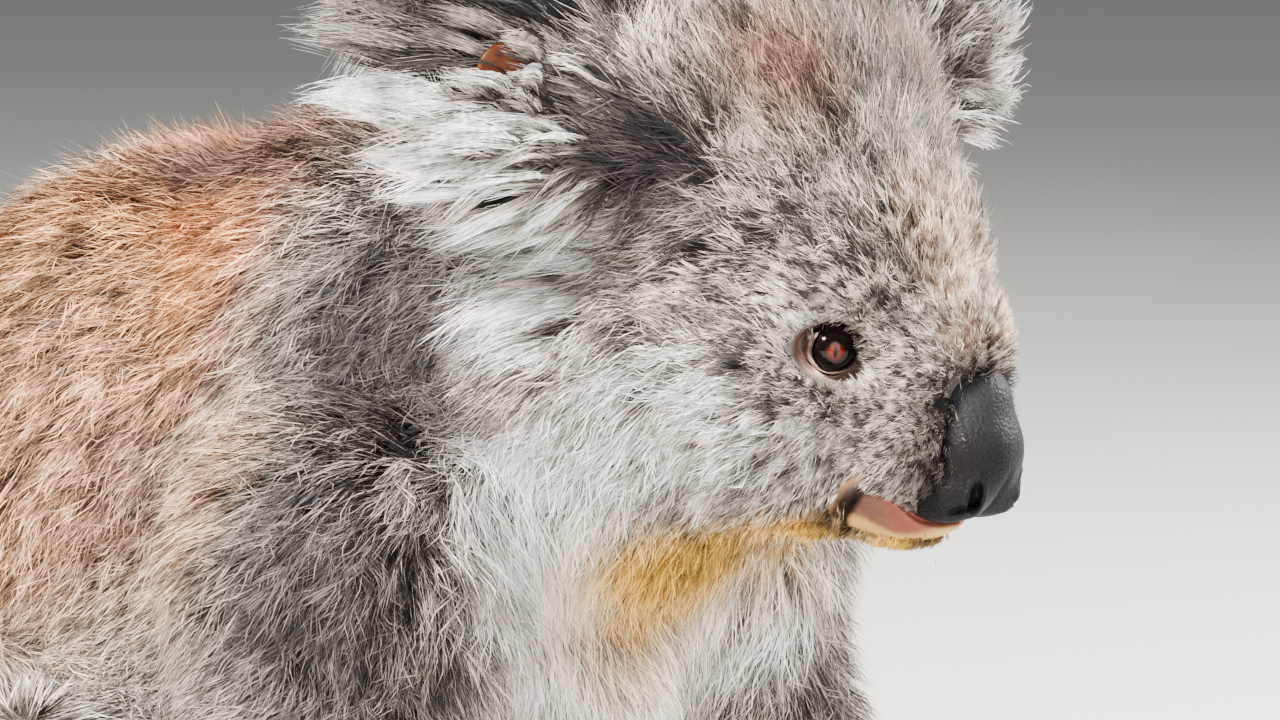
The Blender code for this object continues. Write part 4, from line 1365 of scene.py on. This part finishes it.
def nose_material(lit_top_colour):
    """Blue-grey leather, with painted light: lighter on its upper middle as if lit from above, painted shade
    darkening it towards the nostrils and its sides, and painted shade where it sinks under the coat.
    """
    paint = Paint("nose_leather", Specular_IOR_Level=0.13)
    _, across, z = paint.axes("pad")
    where = paint.node("ShaderNodeTexCoord", {}, {}, 3)
    grain = paint.node("ShaderNodeTexVoronoi", {"feature": "SMOOTH_F1"}, {"Vector": where, "Scale": 1100.0})
    fine, wide = paint.noise(900.0, 4.0), paint.noise(90.0, 3.0)
    # Painted light and shade: from the lit top colour on the upper middle down to near black by the nostrils
    # and at the sides.
    height = z + (wide - 0.5) * 16.0 - 0.4 * paint.math("ABSOLUTE", across)
    colour = paint.mix(paint.rise(height, -37.0, -12.0), hue(3, 2, 2), lit_top_colour)
    # Painted shade: near black at the top, where the pad sinks under the coat.
    colour = paint.mix(paint.rise(z, -6.0, -3.0), colour, hue(5, 4, 4))
    paint.set("Base Color", paint.mix(paint.rise(fine, 0.3, 0.75) * 0.5, colour, hue(20, 18, 20)))
    paint.set("Roughness", 0.50 + 0.20 * fine)
    paint.bump(grain * 0.8 + fine * 0.3, 0.0004)
    return paint.material


def claw_material():
    """Dark horn with fine streaks along it, paler to the tip."""
    paint = Paint("horn", Specular_IOR_Level=0.5)
    streaks = paint.noise(420.0, 3.0)
    colour = paint.mix(paint.rise(paint.attribute("along"), 0.1, 0.95), hue(24, 20, 20), hue(104, 92, 84))
    paint.set("Base Color", paint.mix(paint.rise(streaks, 0.35, 0.7) * 0.5, colour, hue(16, 13, 13)))
    paint.set("Roughness", 0.26 + 0.2 * streaks)
    paint.bump(streaks, 0.0002)
    return paint.material


def tag_material(colour):
    """Worn plastic, duller in patches."""
    paint = Paint("tag_plastic", Specular_IOR_Level=0.25)
    wear = paint.noise(260.0, 4.0)
    worn = tuple(value * 0.55 for value in colour[:3])
    paint.set("Base Color", paint.mix(paint.rise(wear, 0.35, 0.75), colour, worn))
    paint.set("Roughness", 0.34 + 0.3 * wear)
    return paint.material


def floor_material(colour):
    """Matt paint with a faint unevenness."""
    paint = Paint("floor", Roughness=0.9, Specular_IOR_Level=0.2)
    paint.set("Base Color", paint.mix(paint.noise(2.0), colour, tuple(value * 0.96 for value in colour[:3])))
    return paint.material


# ---------------------------------------------------------------- stage


def aimed(obj, place, way):
    """Puts a lamp or a camera at place, looking along way."""
    obj.location = place
    obj.rotation_euler = way.to_track_quat("-Z", "Y").to_euler()


def add_lamp(name, place, aim, size, power, colour):
    """A round soft lamp."""
    light = bpy.data.lights.new(name, "AREA")
    light.shape, light.size, light.energy, light.color = "DISK", size, power, colour
    aimed(linked(name, light), place, Vector(aim) - Vector(place))


def build_stage(settings):
    """A plain pale floor, soft light from all round, and the lamps."""
    bpy.ops.object.select_all(action="DESELECT")
    bpy.ops.mesh.primitive_plane_add(size=30.0)
    floor = new_object("floor")
    floor.data.materials.append(floor_material(settings.floor_colour))
    world = bpy.data.worlds.new("studio")
    world.use_nodes = True
    sky = world.node_tree.nodes["Background"]
    sky.inputs["Color"].default_value = SKY
    sky.inputs["Strength"].default_value = settings.sky_strength
    bpy.context.scene.world = world
    for name, (place, aim, size, share, colour) in LAMPS.items():
        add_lamp(name, place, aim, size, settings.key_power * share, colour)


def build_camera(width, away):
    """The view: from a little above the head, well round to the animal's right."""
    sideways = Vector((math.cos(AZIMUTH), math.sin(AZIMUTH), 0.0))
    level = Vector((math.sin(AZIMUTH), -math.cos(AZIMUTH), 0.0))
    back = level * math.cos(ELEVATION) + Vector((0, 0, math.sin(ELEVATION)))
    up = back.cross(sideways)
    place, gaze = eye_place(-1)
    aim = Vector(from_head(place + gaze * 0.008)) - sideways * EYE_IN_VIEW[0] - up * EYE_IN_VIEW[1]
    data = bpy.data.cameras.new("view")
    data.sensor_width = 36.0
    data.lens = data.sensor_width * away / width
    camera = linked(data.name, data)
    aimed(camera, aim + back * away, -back)
    bpy.context.scene.camera = camera


# ---------------------------------------------------------------- add-on


def colour_of(name, description, colour):
    """A colour among the settings."""
    return FloatVectorProperty(name=name, description=description, default=colour, min=0.0, max=1.0, size=3,
                               subtype="COLOR")


def number_of(name, description, default, low, high, **more):
    """A number among the settings."""
    return FloatProperty(name=name, description=description, default=default, min=low, max=high, **more)


class KoalaSettings(bpy.types.PropertyGroup):
    """Sizes and colours that a user would change."""

    skin_voxel: number_of("Skin detail", "Size of the skin's faces", 0.0028, 0.002, 0.01, unit="LENGTH")
    coat_triangles: IntProperty(name="Coat triangles", description="Triangles in the whole coat",
                                default=int(TRIANGLES), min=10000, max=1500000)
    hair_length: number_of("Hair length", "Length of the hair against its own", 1.0, 0.5, 1.5,
                           subtype="FACTOR")
    curl: number_of("Curl", "How much the hair waves and strays", 1.0, 0.0, 2.0, subtype="FACTOR")
    lip_colour: colour_of("Lip", "Colour of the lower lip", hue(110, 50, 40))
    iris_colour: colour_of("Iris", "Colour of the iris by the pupil", hue(108, 36, 12))
    # The nose's upper colour is painted light: the lit top of the pad.
    nose_colour: colour_of("Nose", "Colour of the nose pad's upper part", hue(34, 33, 39))
    tag_colour: colour_of("Ear tag", "Colour of the ear tag", hue(92, 38, 1))
    floor_colour: colour_of("Floor", "Colour of the studio floor", (0.72, 0.72, 0.70))
    sky_strength: number_of("Sky", "Strength of the light from all round", 0.22, 0.0, 10.0)
    key_power: number_of("Key light", "Power of the main light", 400.0, 0.0, 5000.0, unit="POWER")
    view_width: number_of("View width", "Width that the camera sees at the head", VIEW_WIDTH, 0.05, 2.0,
                          unit="LENGTH")
    view_distance: number_of("View distance", "How far the camera stands from the head", CAMERA_AWAY,
                             0.5, 10.0, unit="LENGTH")


class Step:
    """What every operator does: it builds its piece or pieces from the settings."""

    def execute(self, context):
        self.build(context.scene.koala)
        return {"FINISHED"}


class KOALA_OT_skin(Step, bpy.types.Operator):
    """Build the one skin that lies under the whole coat"""

    bl_idname = "koala.skin"
    bl_label = "Skin"

    def build(self, settings):
        finish(build_skin(settings.skin_voxel), skin_material(settings.lip_colour), "coat", *FLESH)


class KOALA_OT_coat(Step, bpy.types.Operator):
    """Grow the coat from the skin"""

    bl_idname = "koala.coat"
    bl_label = "Coat"

    def build(self, settings):
        skin = bpy.data.objects.get("skin")
        if skin is None:
            raise RuntimeError("The coat needs the skin to be built first")
        fur = coat_material()
        for piece in grow_coat(skin, settings.coat_triangles, settings.hair_length, settings.curl):
            finish(piece, fur, "coat")


class KOALA_OT_eyes(Step, bpy.types.Operator):
    """Build both eyes"""

    bl_idname = "koala.eyes"
    bl_label = "Eyes"

    def build(self, settings):
        material = eye_material(settings.iris_colour)
        for side in SIDES:
            finish(build_eye(side), material, "eye", "eye_" + side)


class KOALA_OT_nose(Step, bpy.types.Operator):
    """Build the nose pad"""

    bl_idname = "koala.nose"
    bl_label = "Nose"

    def build(self, settings):
        finish(build_nose(), nose_material(settings.nose_colour), "nose", "nose")


class KOALA_OT_claws(Step, bpy.types.Operator):
    """Build every claw"""

    bl_idname = "koala.claws"
    bl_label = "Claws"

    def build(self, settings):
        material = claw_material()
        for node in [name for name in NODES if "_claw_" in name]:
            finish(build_claw(node), material, "claw", node)


class KOALA_OT_tag(Step, bpy.types.Operator):
    """Build the plain ear tag"""

    bl_idname = "koala.tag"
    bl_label = "Ear tag"

    def build(self, settings):
        finish(build_tag(), tag_material(settings.tag_colour), "tag", "ear_tag")


class KOALA_OT_stage(Step, bpy.types.Operator):
    """Set up the floor, the lights and the camera"""

    bl_idname = "koala.stage"
    bl_label = "Stage"

    def build(self, settings):
        build_stage(settings)
        build_camera(settings.view_width, settings.view_distance)


OPERATORS = (KOALA_OT_skin, KOALA_OT_coat, KOALA_OT_eyes, KOALA_OT_nose, KOALA_OT_claws, KOALA_OT_tag,
             KOALA_OT_stage)


class KOALA_PT_panel(bpy.types.Panel):
    """Every step of the koala, in order, and its settings"""

    bl_idname = "KOALA_PT_panel"
    bl_label = "Koala"
    bl_space_type = "VIEW_3D"
    bl_region_type = "UI"
    bl_category = "Koala"

    def draw(self, context):
        column = self.layout.column(align=True)
        for operator in OPERATORS:
            column.operator(operator.bl_idname)
        settings = context.scene.koala
        for name in settings.__annotations__:
            self.layout.prop(settings, name)


CLASSES = (KoalaSettings, *OPERATORS, KOALA_PT_panel)


def register():
    for made in CLASSES:
        bpy.utils.register_class(made)
    bpy.types.Scene.koala = PointerProperty(type=KoalaSettings)


def unregister():
    del bpy.types.Scene.koala
    for made in reversed(CLASSES):
        bpy.utils.unregister_class(made)


def main():
    register()
    for operator in OPERATORS:
        group, name = operator.bl_idname.split(".")
        getattr(getattr(bpy.ops, group), name)()


if __name__ == "__main__":
    main()
